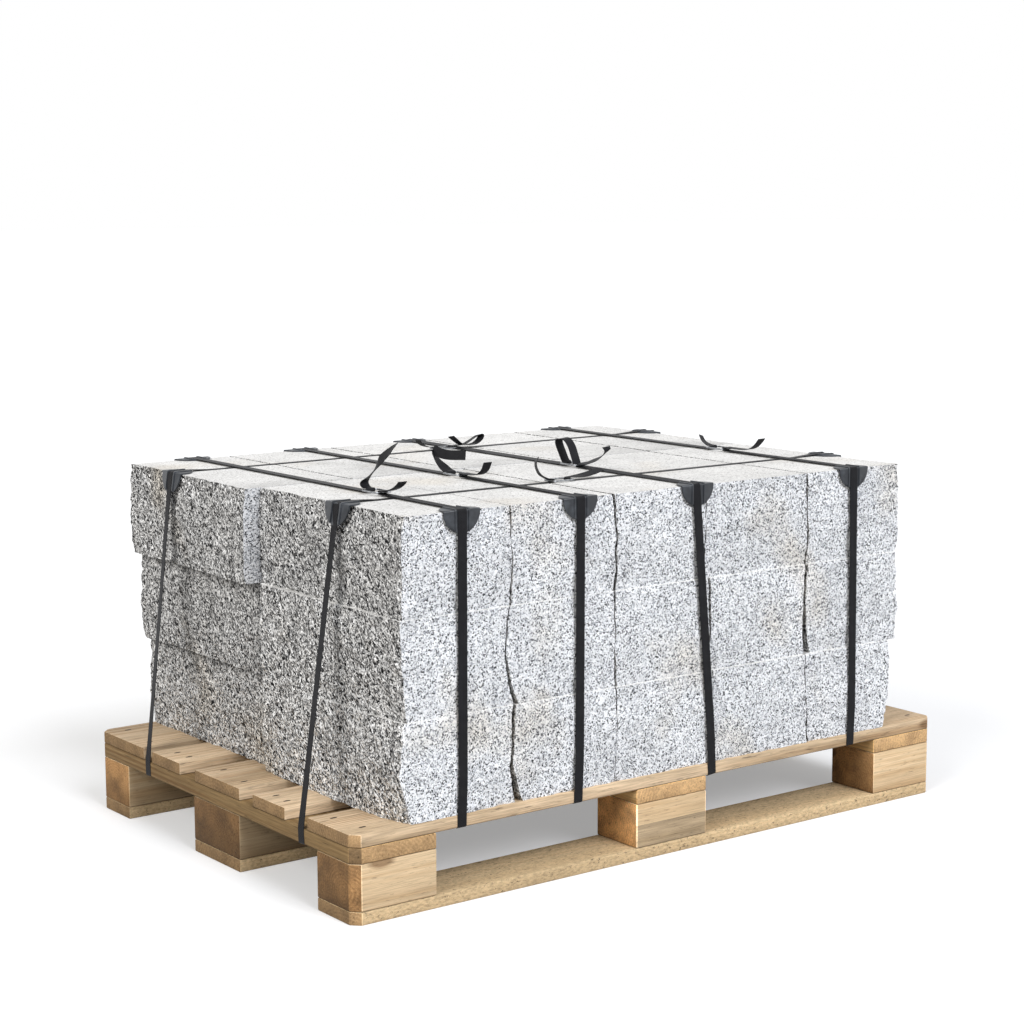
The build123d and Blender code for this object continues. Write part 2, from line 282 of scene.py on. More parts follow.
def finish_piece(
    mesh: bmesh.types.BMesh,
    name: str,
    materials: Sequence[bpy.types.Material],
    replaced: Sequence[str] = (),
) -> None:
    """Turn a bmesh into a dressed piece that rides on the pallet.

    Args:
        mesh: the shape in the shared frame, which is used up.
        name: the piece's name.
        materials: its materials, in the order that its faces number them.
        replaced: the frame nodes that the piece stands for.
    """
    piece = link_mesh(mesh, name, materials)
    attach(piece, BODY)
    if replaced:
        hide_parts(*replaced)
    LOG.info("%s: %d faces", name, len(piece.data.polygons))


def sharpen(mesh: bmesh.types.BMesh, angle: float) -> None:
    """Shade a mesh smooth but for the edges that turn by more than an angle.

    Args:
        mesh: the mesh to shade.
        angle: the turn in degrees.
    """
    for face in mesh.faces:
        face.smooth = True
    limit = math.radians(angle)
    for edge in mesh.edges:
        edge.smooth = edge.calc_face_angle(0.0) < limit


def round_edges(
    mesh: bmesh.types.BMesh, edges: Sequence[bmesh.types.BMEdge], width: float, clamp: bool = False
) -> None:
    """Round edges of a mesh.

    Args:
        mesh: the mesh.
        edges: the edges to round.
        width: how far from the edge the rounding starts.
        clamp: whether roundings stop where they would meet.
    """
    bmesh.ops.bevel(
        mesh,
        geom=edges,
        offset=width,
        affect="EDGES",
        segments=2,
        profile=0.5,
        material=-1,
        clamp_overlap=clamp,
    )


@dataclass(frozen=True)
class Granite:
    """Grey granite: white feldspar and glassy grey quartz, peppered with black mica.

    Split faces are rough and sparkle unevenly, with pale stone dust along their bruised edges. Sawn
    beds are smooth and paler, with dust in the saw marks that softens the speckle. The pairs named
    band are the stretches of a pattern's level over which its look changes.
    """

    name: str
    feldspar: str
    quartz: str
    smoky: str
    mica: str
    quartz_share: float
    smoky_share: float
    mica_share: float
    fleck_level: float
    relief_mm: float
    facet_tilt: float
    roughness: float
    dusty: bool
    facet_mm: float = 2.6
    facet_stretch: float = 1.0
    facet_slant: float = 0.0
    grain_mm: float = 2.0
    grain_stir: float = 0.8
    fleck_mm: float = 1.5
    fleck_share: float = 0.08
    pit_mm: float = 5.0
    pit_rough: float = 0.62
    cloud_mm: float = 70.0
    cloud_band: tuple[float, float] = (0.3, 0.7)
    cloud_levels: tuple[float, float] = (0.90, 1.06)
    stain: str = "#f6efe4"
    stain_mm: float = 190.0
    stain_band: tuple[float, float] = (0.55, 0.72)
    dust: str = "#f6f6f5"
    dust_mm: float = 22.0
    dust_band: tuple[float, float] = (0.22, 0.40)
    dust_levels: tuple[float, float] = (0.0, 0.85)
    arris_band: tuple[float, float] = (0.76, 0.92)
    specular: float = 0.3

    def material(self) -> bpy.types.Material:
        """Build the granite's material.

        Returns:
            The material, which reads Object coordinates and the attributes "tone" and "arris".
        """
        material, kit = start_material(self.name)
        place = kit.place()
        colour = self._speckle(kit, place)
        if self.dusty:
            colour = self._dust(kit, place, colour)
        normal = kit.bump(kit.noise(place, self.pit_mm, 4.0, self.pit_rough), self.relief_mm)
        if self.facet_tilt:
            normal = self._facets(kit, place, normal)
        kit.shade(
            {"Base Color": colour, "Normal": normal},
            {"Roughness": self.roughness, "Specular IOR Level": self.specular},
        )
        return material

    def _facets(self, kit: NodeKit, place: Socket, normal: Socket) -> Socket:
        """Tilt the broken face of each grain its own way, so that the split stone sparkles.

        Args:
            place: the point on the stone.
            normal: the way the stone faces there.

        Returns:
            The socket of the tilted normal.
        """
        slant = {
            "Rotation": (math.radians(self.facet_slant), 0, 0),
            "Scale": (1, self.facet_stretch, 1),
        }
        cells = kit.cells(kit.mapped(place, slant, vector_type="TEXTURE"), self.facet_mm)
        centred = kit.vector("SUBTRACT", {0: cells}, {1: (0.5, 0.5, 0.5)})
        tilted = kit.vector("MULTIPLY_ADD", {0: centred, 2: normal}, {1: (2 * self.facet_tilt,) * 3})
        return kit.vector("NORMALIZE", {0: tilted})

    def _speckle(self, kit: NodeKit, place: Socket) -> Socket:
        """Add the grains of the minerals, the mica flecks, the clouds and a few warm stains.

        Args:
            place: the point on the stone.

        Returns:
            The socket of the speckled colour.
        """
        stir = kit.noise(place, self.grain_mm, 1.0, output="Color")
        reach = self.grain_stir * self.grain_mm * MM
        grown = kit.vector("MULTIPLY_ADD", {0: stir, 2: place}, {1: (reach,) * 3})
        smoky_from = self.mica_share
        quartz_from = smoky_from + self.smoky_share
        feldspar_from = quartz_from + self.quartz_share
        shares = (
            (0.0, linear(self.mica)),
            (smoky_from, linear(self.smoky)),
            (quartz_from, linear(self.quartz)),
            (feldspar_from, linear(self.feldspar)),
        )
        minerals = kit.ramp(kit.channel(kit.cells(grown, self.grain_mm), "Red"), shares, "CONSTANT")
        fleck_shares = ((0.0, grey(self.fleck_level)), (self.fleck_share, grey(1.0)))
        fleck_pick = kit.channel(kit.cells(grown, self.fleck_mm), "Green")
        flecks = kit.ramp(fleck_pick, fleck_shares, "CONSTANT")
        clouds = kit.level(kit.noise(place, self.cloud_mm, 4.0), self.cloud_band, self.cloud_levels)
        # The attribute "tone" holds each block's own random tone times the painted light and shade of the
        # stack's ends
        shade = kit.joined(kit.joined(clouds, kit.attribute("tone")), flecks)
        clean, stained = self.stain_band
        stains = kit.noise(place, self.stain_mm, 3.0)
        tint = kit.ramp(stains, ((clean, grey(1.0)), (stained, linear(self.stain))))
        tinted = kit.vector("MULTIPLY", {0: minerals, 1: tint})
        return kit.vector("SCALE", {0: tinted, "Scale": shade})

    def _dust(self, kit: NodeKit, place: Socket, speckle: Socket) -> Socket:
        """Lay broken lines of pale dust along the bruised edges of the beds.

        Args:
            place: the point on the stone.
            speckle: the colour under the dust.

        Returns:
            The socket of the dusted colour.
        """
        line = kit.level(kit.attribute("arris"), self.arris_band)
        broken = kit.level(kit.noise(place, self.dust_mm, 3.0), self.dust_band, self.dust_levels)
        return kit.laid(kit.joined(line, broken), speckle, self.dust)


@dataclass(frozen=True)
class Pine:
    """Rough-sawn pine: honey-coloured early wood, browner late wood, fine fibres and a few knots.

    The attribute "grain" runs along the trunk in X, so flat sides show streaks and ends show rings.
    Dark specks are resin pores, torn fibres and grit. Grey-brown stains come from rain and the yard.
    A stretch is a pattern's scale along the trunk, as a share of its scale across.
    """

    name: str
    early: str
    late: str
    stain: str
    knot: str
    ring_level: float
    stain_level: float
    speck_level: float
    fibre_low: float
    relief_mm: float
    ring_mm: float = 6.0
    ring_stretch: float = 0.06
    ring_band: tuple[float, float] = (0.35, 0.65)
    uneven_mm: float = 36.0
    uneven_stretch: float = 0.08
    fibre_mm: float = 1.8
    fibre_stretch: float = 0.03
    fibre_band: tuple[float, float] = (0.3, 0.62)
    fibre_high: float = 1.06
    speck_mm: float = 3.2
    speck_stretch: float = 0.25
    speck_band: tuple[float, float] = (0.30, 0.40)
    stain_mm: float = 70.0
    stain_stretch: float = 0.12
    stain_band: tuple[float, float] = (0.42, 0.70)
    knot_mm: float = 120.0
    knot_stretch: float = 0.4
    knot_band: tuple[float, float] = (0.05, 0.09)
    knot_levels: tuple[float, float] = (0.7, 0.0)
    roughness: float = 0.75
    specular: float = 0.25

    def material(self) -> bpy.types.Material:
        """Build the pine's material.

        Returns:
            The material, which reads the attributes "grain" and "tone".
        """
        material, kit = start_material(self.name)
        grain = kit.attribute("grain", "Vector")
        fibres = self._streaks(kit, grain, self.fibre_mm, self.fibre_stretch)
        wood = self._stained(kit, grain, self._rings(kit, grain))
        fibre_level = kit.level(fibres, self.fibre_band, (self.fibre_low, self.fibre_high))
        specks = self._streaks(kit, grain, self.speck_mm, self.speck_stretch)
        speck_level = kit.level(specks, self.speck_band, (1 - self.speck_level, 1.0))
        # The attribute "tone" holds each piece's own tone, with painted shade on timber in shade and
        # along its feet, and painted light on its ends
        shade = kit.joined(kit.joined(fibre_level, kit.attribute("tone")), speck_level)
        colour = kit.vector("SCALE", {0: wood, "Scale": shade})
        kit.shade(
            {"Base Color": colour, "Normal": kit.bump(fibres, self.relief_mm)},
            {"Roughness": self.roughness, "Specular IOR Level": self.specular},
        )
        return material

    def _streaks(self, kit: NodeKit, grain: Socket, size_mm: float, stretch: float) -> Socket:
        """Add a noise that is drawn out along the trunk.

        Args:
            grain: the place in the trunk.
            size_mm: the noise's size across the trunk.
            stretch: its scale along the trunk, as a share of its scale across.

        Returns:
            The socket of the noise's level.
        """
        return kit.noise(kit.mapped(grain, {"Scale": (stretch, 1.0, 1.0)}), size_mm, 4.0, 0.6)

    def _rings(self, kit: NodeKit, grain: Socket) -> Socket:
        """Add the year rings, uneven in width and strength.

        Args:
            grain: the place in the trunk.

        Returns:
            The socket of the ringed colour.
        """
        drawn = kit.mapped(grain, {"Scale": (self.ring_stretch, 1.0, 1.0)})
        wobble = {"Distortion": 5.0, "Detail": 3.0, "Detail Scale": 0.35, "Detail Roughness": 0.6}
        rings = kit.waves(drawn, self.ring_mm, wobble, wave_type="RINGS", rings_direction="X")
        strength = self._streaks(kit, grain, self.uneven_mm, self.uneven_stretch)
        uneven = kit.level(strength, self.ring_band, (0.0, self.ring_level))
        return kit.laid(kit.joined(rings, uneven), self.early, self.late)

    def _stained(self, kit: NodeKit, grain: Socket, wood: Socket) -> Socket:
        """Lay weather stains and knots on the wood.

        Args:
            grain: the place in the trunk.
            wood: the colour under them.

        Returns:
            The socket of the stained colour.
        """
        stains = self._streaks(kit, grain, self.stain_mm, self.stain_stretch)
        dull = kit.laid(kit.level(stains, self.stain_band, (0.0, self.stain_level)), wood, self.stain)
        knot_place = kit.mapped(grain, {"Scale": (self.knot_stretch, 1.0, 1.0)})
        knots = kit.level(
            kit.cells(knot_place, self.knot_mm, "Distance"), self.knot_band, self.knot_levels
        )
        return kit.laid(knots, dull, self.knot)


@dataclass(frozen=True)
class StrapBand:
    """Black polypropylene band, rolled with a fine diagonal emboss that breaks its sheen.

    The real emboss is about 1.5 mm apart. It is drawn coarser so that it shows in the render.
    """

    name: str = "polypropylene_band"
    colour: str = "#202022"
    worn: str = "#28282a"
    emboss_mm: float = 3.2
    emboss_turn: float = 40.0
    emboss_depth_mm: float = 0.25
    emboss_strength: float = 0.8
    scuff_mm: float = 25.0
    scuff_band: tuple[float, float] = (0.45, 0.75)
    roughness: float = 0.42
    specular: float = 0.05

    def material(self) -> bpy.types.Material:
        """Build the band's material.

        Returns:
            The material, which reads the attribute "band" for its places along and across.
        """
        material, kit = start_material(self.name)
        band = kit.attribute("band", "Vector")
        ridges = []
        for turn in (self.emboss_turn, -self.emboss_turn):
            lean = kit.mapped(band, {"Rotation": (0.0, 0.0, math.radians(turn))})
            ridges.append(kit.waves(lean, self.emboss_mm, {}))
        emboss = kit.joined(*ridges, operation="MAXIMUM")
        clean, worn = self.scuff_band
        stops = ((clean, linear(self.colour)), (worn, linear(self.worn)))
        kit.shade(
            {
                "Base Color": kit.ramp(kit.noise(band, self.scuff_mm, 5.0, 0.7), stops),
                "Normal": kit.bump(emboss, self.emboss_depth_mm, self.emboss_strength),
            },
            {"Roughness": self.roughness, "Specular IOR Level": self.specular},
        )
        return material


@dataclass(frozen=True)
class MouldedPlastic:
    """Recycled polypropylene, injection moulded: dark blue-grey, softly glossy, dusty in patches."""

    name: str = "moulded_polypropylene"
    colour: str = "#1b1f25"
    dust: str = "#42464c"
    cloud_mm: float = 18.0
    cloud_band: tuple[float, float] = (0.45, 0.8)
    pore_mm: float = 0.9
    pore_depth_mm: float = 0.08
    pore_strength: float = 0.5
    roughness: float = 0.38

    def material(self) -> bpy.types.Material:
        """Build the moulded plastic's material.

        Returns:
            The material, which reads Object coordinates.
        """
        material, kit = start_material(self.name)
        place = kit.place()
        clean, dusty = self.cloud_band
        stops = ((clean, linear(self.colour)), (dusty, linear(self.dust)))
        pores = kit.noise(place, self.pore_mm, 2.0)
        kit.shade(
            {
                "Base Color": kit.ramp(kit.noise(place, self.cloud_mm, 4.0, 0.6), stops),
                "Normal": kit.bump(pores, self.pore_depth_mm, self.pore_strength),
            },
            {"Roughness": self.roughness},
        )
        return material


@dataclass(frozen=True)
class Steel:
    """Drawn steel wire: bright where it is galvanised, dull and brown where it is a nail."""

    name: str
    colour: str
    tarnish: str
    roughness: float
    cloud_mm: float = 4.0
    cloud_band: tuple[float, float] = (0.4, 0.7)

    def material(self) -> bpy.types.Material:
        """Build the steel's material.

        Returns:
            The material, which reads Object coordinates.
        """
        material, kit = start_material(self.name)
        bright, dull = self.cloud_band
        stops = ((bright, linear(self.colour)), (dull, linear(self.tarnish)))
        colour = kit.ramp(kit.noise(kit.place(), self.cloud_mm, 3.0), stops)
        kit.shade({"Base Color": colour}, {"Metallic": 1.0, "Roughness": self.roughness})
        return material


SPLIT_GRANITE = Granite(
    name="split_granite",
    feldspar="#eeeff1",
    quartz="#d9dbde",
    smoky="#abaeb3",
    mica="#3a3c40",
    quartz_share=0.32,
    smoky_share=0.22,
    mica_share=0.03,
    fleck_level=0.1,
    relief_mm=2.4,
    facet_tilt=0.25,
    roughness=0.8,
    dusty=True,
    facet_mm=2.0,
    grain_mm=2.3,
    fleck_mm=1.8,
    fleck_share=0.15,
)
PITCHED_GRANITE = replace(
    SPLIT_GRANITE,
    name="pitched_granite",
    feldspar="#fbfbfa",
    quartz="#dadad9",
    smoky="#9b9b9c",
    mica="#2c2d2f",
    quartz_share=0.30,
    smoky_share=0.2,
    mica_share=0.05,
    relief_mm=4.5,
    facet_tilt=1.3,
    roughness=0.85,
    facet_stretch=2.4,
    facet_slant=50.0,
    grain_mm=2.4,
    fleck_mm=1.9,
)
SAWN_GRANITE = Granite(
    name="sawn_granite",
    feldspar="#e2e1de",
    quartz="#d8d6d3",
    smoky="#cbc9c6",
    mica="#a5a3a0",
    quartz_share=0.32,
    smoky_share=0.16,
    mica_share=0.09,
    fleck_level=0.85,
    relief_mm=0.15,
    facet_tilt=0.0,
    roughness=0.65,
    dusty=False,
    stain="#f8f4ee",
)
DECK_PINE = Pine(
    name="sawn_pine",
    early="#d7be9e",
    late="#a58058",
    stain="#8c7657",
    knot="#6b4c2e",
    ring_level=0.8,
    stain_level=0.7,
    speck_level=0.55,
    fibre_low=0.6,
    relief_mm=0.5,
    speck_mm=3.6,
    speck_stretch=0.1,
)
STRINGER_PINE = replace(
    DECK_PINE,
    name="stringer_pine",
    early="#d6b27c",
    late="#a07443",
    stain="#8d6e45",
    knot="#6b4a2a",
    stain_level=0.6,
    speck_level=0.5,
)
BLOCK_PINE = replace(
    DECK_PINE,
    name="planed_pine",
    early="#d8be99",
    late="#b28c60",
    stain="#a98b64",
    knot="#6f4d2b",
    ring_level=0.6,
    stain_level=0.45,
    speck_level=0.4,
    fibre_low=0.74,
    speck_mm=3.0,
    speck_stretch=0.15,
)
BOARD_END = Pine(
    name="pine_board_end",
    early="#967a57",
    late="#705638",
    stain="#5b4833",
    knot="#4d351f",
    ring_level=0.5,
    stain_level=0.6,
    speck_level=0.6,
    fibre_low=0.66,
    relief_mm=0.9,
    fibre_mm=2.6,
    fibre_stretch=1.0,
    speck_mm=4.0,
    speck_stretch=1.0,
    stain_mm=45.0,
)
BLOCK_END = replace(
    BOARD_END,
    name="pine_block_end",
    early="#94714a",
    late="#684828",
    stain="#4f3b26",
    knot="#40291a",
    ring_level=0.55,
    stain_level=0.75,
    fibre_low=0.62,
    relief_mm=1.0,
    ring_mm=5.0,
    uneven_mm=30.0,
)
ROUGH_PINE = Pine(
    name="rough_pine",
    early="#d8bd94",
    late="#bf9c6e",
    stain="#a08a69",
    knot="#6b4c2e",
    ring_level=0.35,
    stain_level=0.5,
    speck_level=0.8,
    fibre_low=0.62,
    relief_mm=1.2,
    fibre_mm=2.6,
    fibre_stretch=0.4,
    speck_mm=4.2,
    speck_stretch=0.7,
)
WEATHERED_PINE = Pine(
    name="weathered_pine",
    early="#bfa888",
    late="#98815f",
    stain="#756852",
    knot="#5f4831",
    ring_level=0.6,
    stain_level=0.8,
    speck_level=0.5,
    fibre_low=0.6,
    relief_mm=0.7,
)
GALVANISED_WIRE = Steel(name="galvanised_wire", colour="#a9abae", tarnish="#6e7174", roughness=0.3)
# The nail heads' dark brown is partly rusty steel and partly painted shade of the dents that they sit in
NAIL_STEEL = Steel(name="nail_steel", colour="#4a4138", tarnish="#2f2721", roughness=0.6)


class Row(Enum):
    """The two rows of kerbs, with the outward direction of the long face that shows."""

    NEAR = ("near", -1.0)
    FAR = ("far", 1.0)

    @property
    def word(self) -> str:
        """Return the row's word in the names of its nodes."""
        return self.value[0]

    @property
    def outward(self) -> float:
        """Return the sign of Y on the row's long face."""
        return self.value[1]


class Side(Enum):
    """The upright sides of a block, with their level axis and the sign of the way inwards."""

    LEFT = (0, 1.0)
    RIGHT = (0, -1.0)
    NEAR = (1, 1.0)
    FAR = (1, -1.0)

    @property
    def axis(self) -> int:
        """Return the level axis that the side faces along."""
        return self.value[0]

    @property
    def inward(self) -> Vector:
        """Return the direction into the block."""
        way = Vector((0.0, 0.0, 0.0))
        way[self.axis] = self.value[1]
        return way

    def share(self, shares: Vector) -> float:
        """Return how far a point lies from the side, as a share of the block."""
        return shares[self.axis] if self.value[1] > 0 else 1 - shares[self.axis]


class StoneFace(IntEnum):
    """The finishes of a block, by their numbers on its faces."""

    SPLIT = 0
    SAWN = 1
    PITCHED = 2


@dataclass(frozen=True)
class Spot:
    """A point of a plain block: its place, its shares of the block's box and its place in the noise."""

    place: Vector
    shares: Vector
    grain: Vector
    course: str
    row: Row


ROW_LENGTH = 5

# How far each outer corner of the stack leans along X: foot, middle and head, from the bottom course up
CORNER_LEANS_MM = {
    (Row.NEAR, 1): ((14, -4, 8), (6, 3, -4), (-8, -5, -4)),
    (Row.NEAR, ROW_LENGTH): ((0, 5, 7), (10, 5, 7), (7, 5, 7)),
    (Row.FAR, 1): ((-3, -3, -3), (-8, -9, -7), (-6, -6, -5)),
}


@dataclass
class KerbStack:
    """The thirty kerb blocks: sawn beds, and split sides that keep to the blocks' own outlines.

    The near tables have a row for each course from the bottom up and a value for each joint: how much
    wider it gapes than in the frame, how far it bows, and how far it is shifted as it leans.
    """

    split: Granite = SPLIT_GRANITE
    sawn: Granite = SAWN_GRANITE
    pitched: Granite = PITCHED_GRANITE
    courses: tuple[str, ...] = ("bottom", "middle", "top")
    grid: float = 5 * MM
    crease: float = 48.0
    bed_facing: float = 0.9
    section_shares: tuple[float, float] = (0.3, 0.7)
    joint_relief: float = 0.6 * MM
    joint_chip: float = 1.2 * MM
    face_relief: float = 4.0 * MM
    end_relief: float = 9.0 * MM
    end_proud_share: float = 0.5
    end_flatness: float = 0.75
    protector_reach: float = 45 * MM
    arris_chip: float = 5.0 * MM
    chip_from: float = 0.1
    upper_chip_share: float = 0.5
    corner_wear: float = 4.0 * MM
    far_wear_share: float = 0.5
    face_wear_share: float = 0.1
    upper_wear_share: float = 0.3
    belly_wear_share: float = 0.15
    wear_mean: float = 0.8
    wear_spread: float = 0.8
    corner_reach: float = 30 * MM
    sweep_reach: float = 95 * MM
    # Painted light and shade on the stack's ends: the near row's ends drawn brighter, the far row's
    # darker, with painted shade beside the joint between the rows, under the ledges and on the near side
    # of the far top block
    near_end_tone: float = 1.05
    far_end_painted_shade: float = 0.94
    inner_shade: float = 0.76
    joint_shade: float = 0.6
    near_joint_share: float = 0.35
    shade_reach: float = 24 * MM
    ledge_shade_rate: float = 1.5
    face_dust: float = 0.92
    column_groove: float = 5.0 * MM
    column_reach: float = 14 * MM
    far_groove_share: float = 1.5
    far_ledge: float = 8.0 * MM
    crack_wander: float = 3.0 * MM
    crack_size: tuple[float, float] = (90 * MM, 30 * MM)
    fine_size: tuple[float, float] = (30 * MM, 11 * MM)
    fine_share: float = 0.4
    joint_steps: tuple[float, float, float] = (7.3, 31.7, 13.1)
    foot_lean: float = 1.5
    near_gaps_mm: tuple[tuple[float, ...], ...] = ((3, -4, 0, 1.2), (1, 0, 0, 1), (-3, -1, 0, 0))
    near_bows_mm: tuple[tuple[float, ...], ...] = ((-13, 2, 3, -6), (-16, -2, 2, -9), (2, 3, -2, 1))
    near_shifts_mm: tuple[tuple[float, ...], ...] = ((12, 2, 0, 11), (14, 4, 0, 10), (3, 6.5, 0, 5.5))
    swell: float = 85 * MM
    swell_weight: float = 0.14
    scar: float = 45 * MM
    scar_mean: float = 0.4
    scar_weight: float = 0.34
    ridge_weight: float = 0.12
    pock: float = 22 * MM
    pock_weight: float = 0.30
    grit: float = 9 * MM
    grit_weight: float = 0.22
    chip: float = 20 * MM
    tone_spread: float = 0.04
    noise_reach: float = 50.0
    seed: int = 41

    def build(self) -> None:
        """Build every block of the stack."""
        rng = random.Random(self.seed)
        materials = (self.split.material(), self.sawn.material(), self.pitched.material())
        for course in self.courses:
            for row in Row:
                for number in range(1, ROW_LENGTH + 1):
                    shift = Vector([rng.uniform(-self.noise_reach, self.noise_reach) for _ in range(3)])
                    level = 1 + rng.uniform(-self.tone_spread, self.tone_spread)
                    name = f"{course}_{row.word}_{number}"
                    mesh = self._block(f"kerb_{name}", course, row, number, shift, level)
                    finish_piece(mesh, f"stone_{name}", materials, [f"kerb_{name}"])

    def _block(
        self, node: str, course: str, row: Row, number: int, shift: Vector, level: float
    ) -> bmesh.types.BMesh:
        """Make one block with split sides, chipped edges, uneven joints and flat beds.

        Args:
            node: the frame node of the block.
            course: its course.
            row: its row.
            number: its place in the row.
            shift: where in the noise the block lies.
            level: how light its stone is.

        Returns:
            The block.
        """
        low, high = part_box(node)
        size = high - low
        mesh = self._grid_box(low, high)
        tone = mesh.verts.layers.float.new("tone")
        arris = mesh.verts.layers.float.new("arris")
        surface = surface_of(node)
        belly = self._section(surface, low, high, (low.z + high.z) / 2)
        sections = {}
        reliefs = self._reliefs(row, number)
        for vert in mesh.verts:
            shares = Vector([(vert.co[axis] - low[axis]) / size[axis] for axis in range(3)])
            height = round(vert.co.z, 6)
            if height not in sections:
                plain = self._section(surface, low, high, height)
                sections[height] = self._flattened(plain, belly, reliefs)
            corners = sections[height]
            near_side = corners[0].lerp(corners[1], shares.x)
            far_side = corners[2].lerp(corners[3], shares.x)
            flat = near_side.lerp(far_side, shares.y)
            place = Vector((flat.x, flat.y, vert.co.z))
            spot = Spot(place, shares, place + shift, course, row)
            move = self._move(spot, size, reliefs)
            left_joint = self._wander(spot, number - 1) + self._opening(spot, number - 1) / 2
            right_joint = self._wander(spot, number) - self._opening(spot, number) / 2
            move.x += (1 - shares.x) * left_joint + shares.x * right_joint
            move.x += self._swept(spot, size, number)
            vert.co = place + move
            # The block's own random tone, times painted light and shade on the stack's ends
            vert[tone] = level * self._shade(spot, size)
            vert[arris] = self._bruised(spot)
        mesh.normal_update()
        for face in mesh.faces:
            end = abs(face.normal.x) > abs(face.normal.y)
            face.material_index = StoneFace.PITCHED if end else StoneFace.SPLIT
            if len(face.verts) > 4:
                face.material_index = StoneFace.SAWN
        sharpen(mesh, self.crease)
        for bed in (face for face in mesh.faces if face.material_index == StoneFace.SAWN):
            for edge in bed.edges:
                edge.smooth = False
        return mesh

    def _reliefs(self, row: Row, number: int) -> dict[Side, float]:
        """Return the relief of each side of a block that shows.

        Args:
            row: the block's row.
            number: its place in the row.
        """
        reliefs = {Side.NEAR if row is Row.NEAR else Side.FAR: self.face_relief}
        if number == 1:
            reliefs[Side.LEFT] = self.end_relief
        if number == ROW_LENGTH:
            reliefs[Side.RIGHT] = self.end_relief
        return reliefs

    def _grid_box(self, low: Vector, high: Vector) -> bmesh.types.BMesh:
        """Make a box with gridded sides and whole beds.

        Args:
            low: its lowest corner.
            high: its highest corner.

        Returns:
            The box.
        """
        size = high - low
        mesh = bmesh.new()
        bmesh.ops.create_cube(mesh, size=1)
        bmesh.ops.scale(mesh, vec=size, verts=mesh.verts)
        bmesh.ops.translate(mesh, vec=(low + high) / 2, verts=mesh.verts)
        for axis in range(3):
            along = [e for e in mesh.edges if abs((e.verts[0].co - e.verts[1].co)[axis]) > MM]
            cuts = round(size[axis] / self.grid) - 1
            bmesh.ops.subdivide_edges(mesh, edges=along, cuts=cuts, use_grid_fill=True)
        mesh.normal_update()
        beds = [face for face in mesh.faces if abs(face.normal.z) > self.bed_facing]
        bmesh.ops.dissolve_faces(mesh, faces=beds)
        return mesh

    def _section(self, surface: BVHTree, low: Vector, high: Vector, level: float) -> list[Vector]:
        """Return the four corners of a block's outline at one level, as if nothing had chipped them.

        Args:
            surface: the surface of the block's node.
            low: the node's lowest corner.
            high: the node's highest corner.
            level: the height of the cut.

        Returns:
            The near left, near right, far left and far right corners.
        """
        height = min(max(level, low.z + MM), high.z - MM)
        lines = {}
        for axis, start, sign in ((0, low, 1), (0, high, -1), (1, low, 1), (1, high, -1)):
            other = 1 - axis
            hits = []
            for share in self.section_shares:
                eye = Vector((0.0, 0.0, height))
                eye[axis] = start[axis] - sign * self.grid
                eye[other] = low[other] + share * (high[other] - low[other])
                ray = Vector((0.0, 0.0, 0.0))
                ray[axis] = sign
                hits.append(surface.ray_cast(eye, ray)[0])
            slope = (hits[1][axis] - hits[0][axis]) / (hits[1][other] - hits[0][other])
            lines[axis, sign] = (hits[0][axis] - slope * hits[0][other], slope)
        corners = []
        for sign_y in (1, -1):
            for sign_x in (1, -1):
                x_start, x_slope = lines[0, sign_x]
                y_start, y_slope = lines[1, sign_y]
                x = (x_start + x_slope * y_start) / (1 - x_slope * y_slope)
                corners.append(Vector((x, y_start + y_slope * x)))
        return corners

    def _flattened(
        self, corners: list[Vector], belly: list[Vector], reliefs: dict[Side, float]
    ) -> list[Vector]:
        """Pull the split ends of the stack out towards their belly, so that their edges stay crisp.

        Args:
            corners: the corners of a block's outline at one level.
            belly: those at the middle of its height.
            reliefs: the relief of each side that shows.

        Returns:
            The corners, with those of the ends moved.
        """
        drawn = list(corners)
        for side, places in ((Side.LEFT, (0, 2)), (Side.RIGHT, (1, 3))):
            if side in reliefs:
                for place in places:
                    drawn[place] = corners[place].lerp(belly[place], self.end_flatness)
        return drawn

    def _move(self, spot: Spot, size: Vector, reliefs: dict[Side, float]) -> Vector:
        """Return how a point of a side moves from the plain block to the split one.

        Args:
            spot: the point.
            size: the block's size.
            reliefs: the relief of each side that shows.

        Returns:
            The level move.
        """
        rough = self._roughness(spot.grain)
        rim = min(spot.shares.z, 1 - spot.shares.z) * size.z < self.grid / 2
        upper = spot.course == "top" and spot.shares.z > 0.5
        touched = [side for side in Side if side.share(spot.shares) < ON_EDGE]
        move = Vector((0.0, 0.0, 0.0))
        for side in touched:
            if side not in reliefs:
                depth = self.joint_relief * rough
                if len(touched) == 2 or (rim and upper):
                    depth += self.joint_chip * max(0.0, noise.noise(2 * spot.grain / self.chip))
                move += depth * side.inward
                continue
            proud = 0.0
            if side.axis == 0:
                below_top = (1 - spot.shares.z) * size.z / self.protector_reach
                proud = self.end_proud_share * (min(1.0, below_top) if upper else 1.0)
            depth = reliefs[side] * (rough - proud)
            if rim:
                chip = max(0.0, noise.noise(spot.grain / self.chip) - self.chip_from)
                depth += self.arris_chip * chip * (self.upper_chip_share if upper else 1.0)
            for other in reliefs:
                if other.axis != side.axis:
                    gap = other.share(spot.shares) * size[other.axis]
                    share = 1.0 if side.axis == 0 else self.face_wear_share
                    depth += share * self._worn_corner(spot, gap, upper)
            if side.axis == 0 and spot.course != "top":
                depth += self._column_joint(spot, size)
            move += depth * side.inward
        return move

    def _column_joint(self, spot: Spot, size: Vector) -> float:
        """Return how far an end is cut back beside the other row and, in the far row, at its ledge.

        Args:
            spot: the point.
            size: the block's size.
        """
        near = spot.row is Row.NEAR
        gap = (1 - spot.shares.y if near else spot.shares.y) * size.y
        groove = self.column_groove * max(0.0, 1 - gap / self.column_reach) ** 2
        ledge = spot.course == "bottom" and spot.shares.z > 1 - ON_EDGE and not near
        return groove * (1.0 if near else self.far_groove_share) + (self.far_ledge if ledge else 0.0)

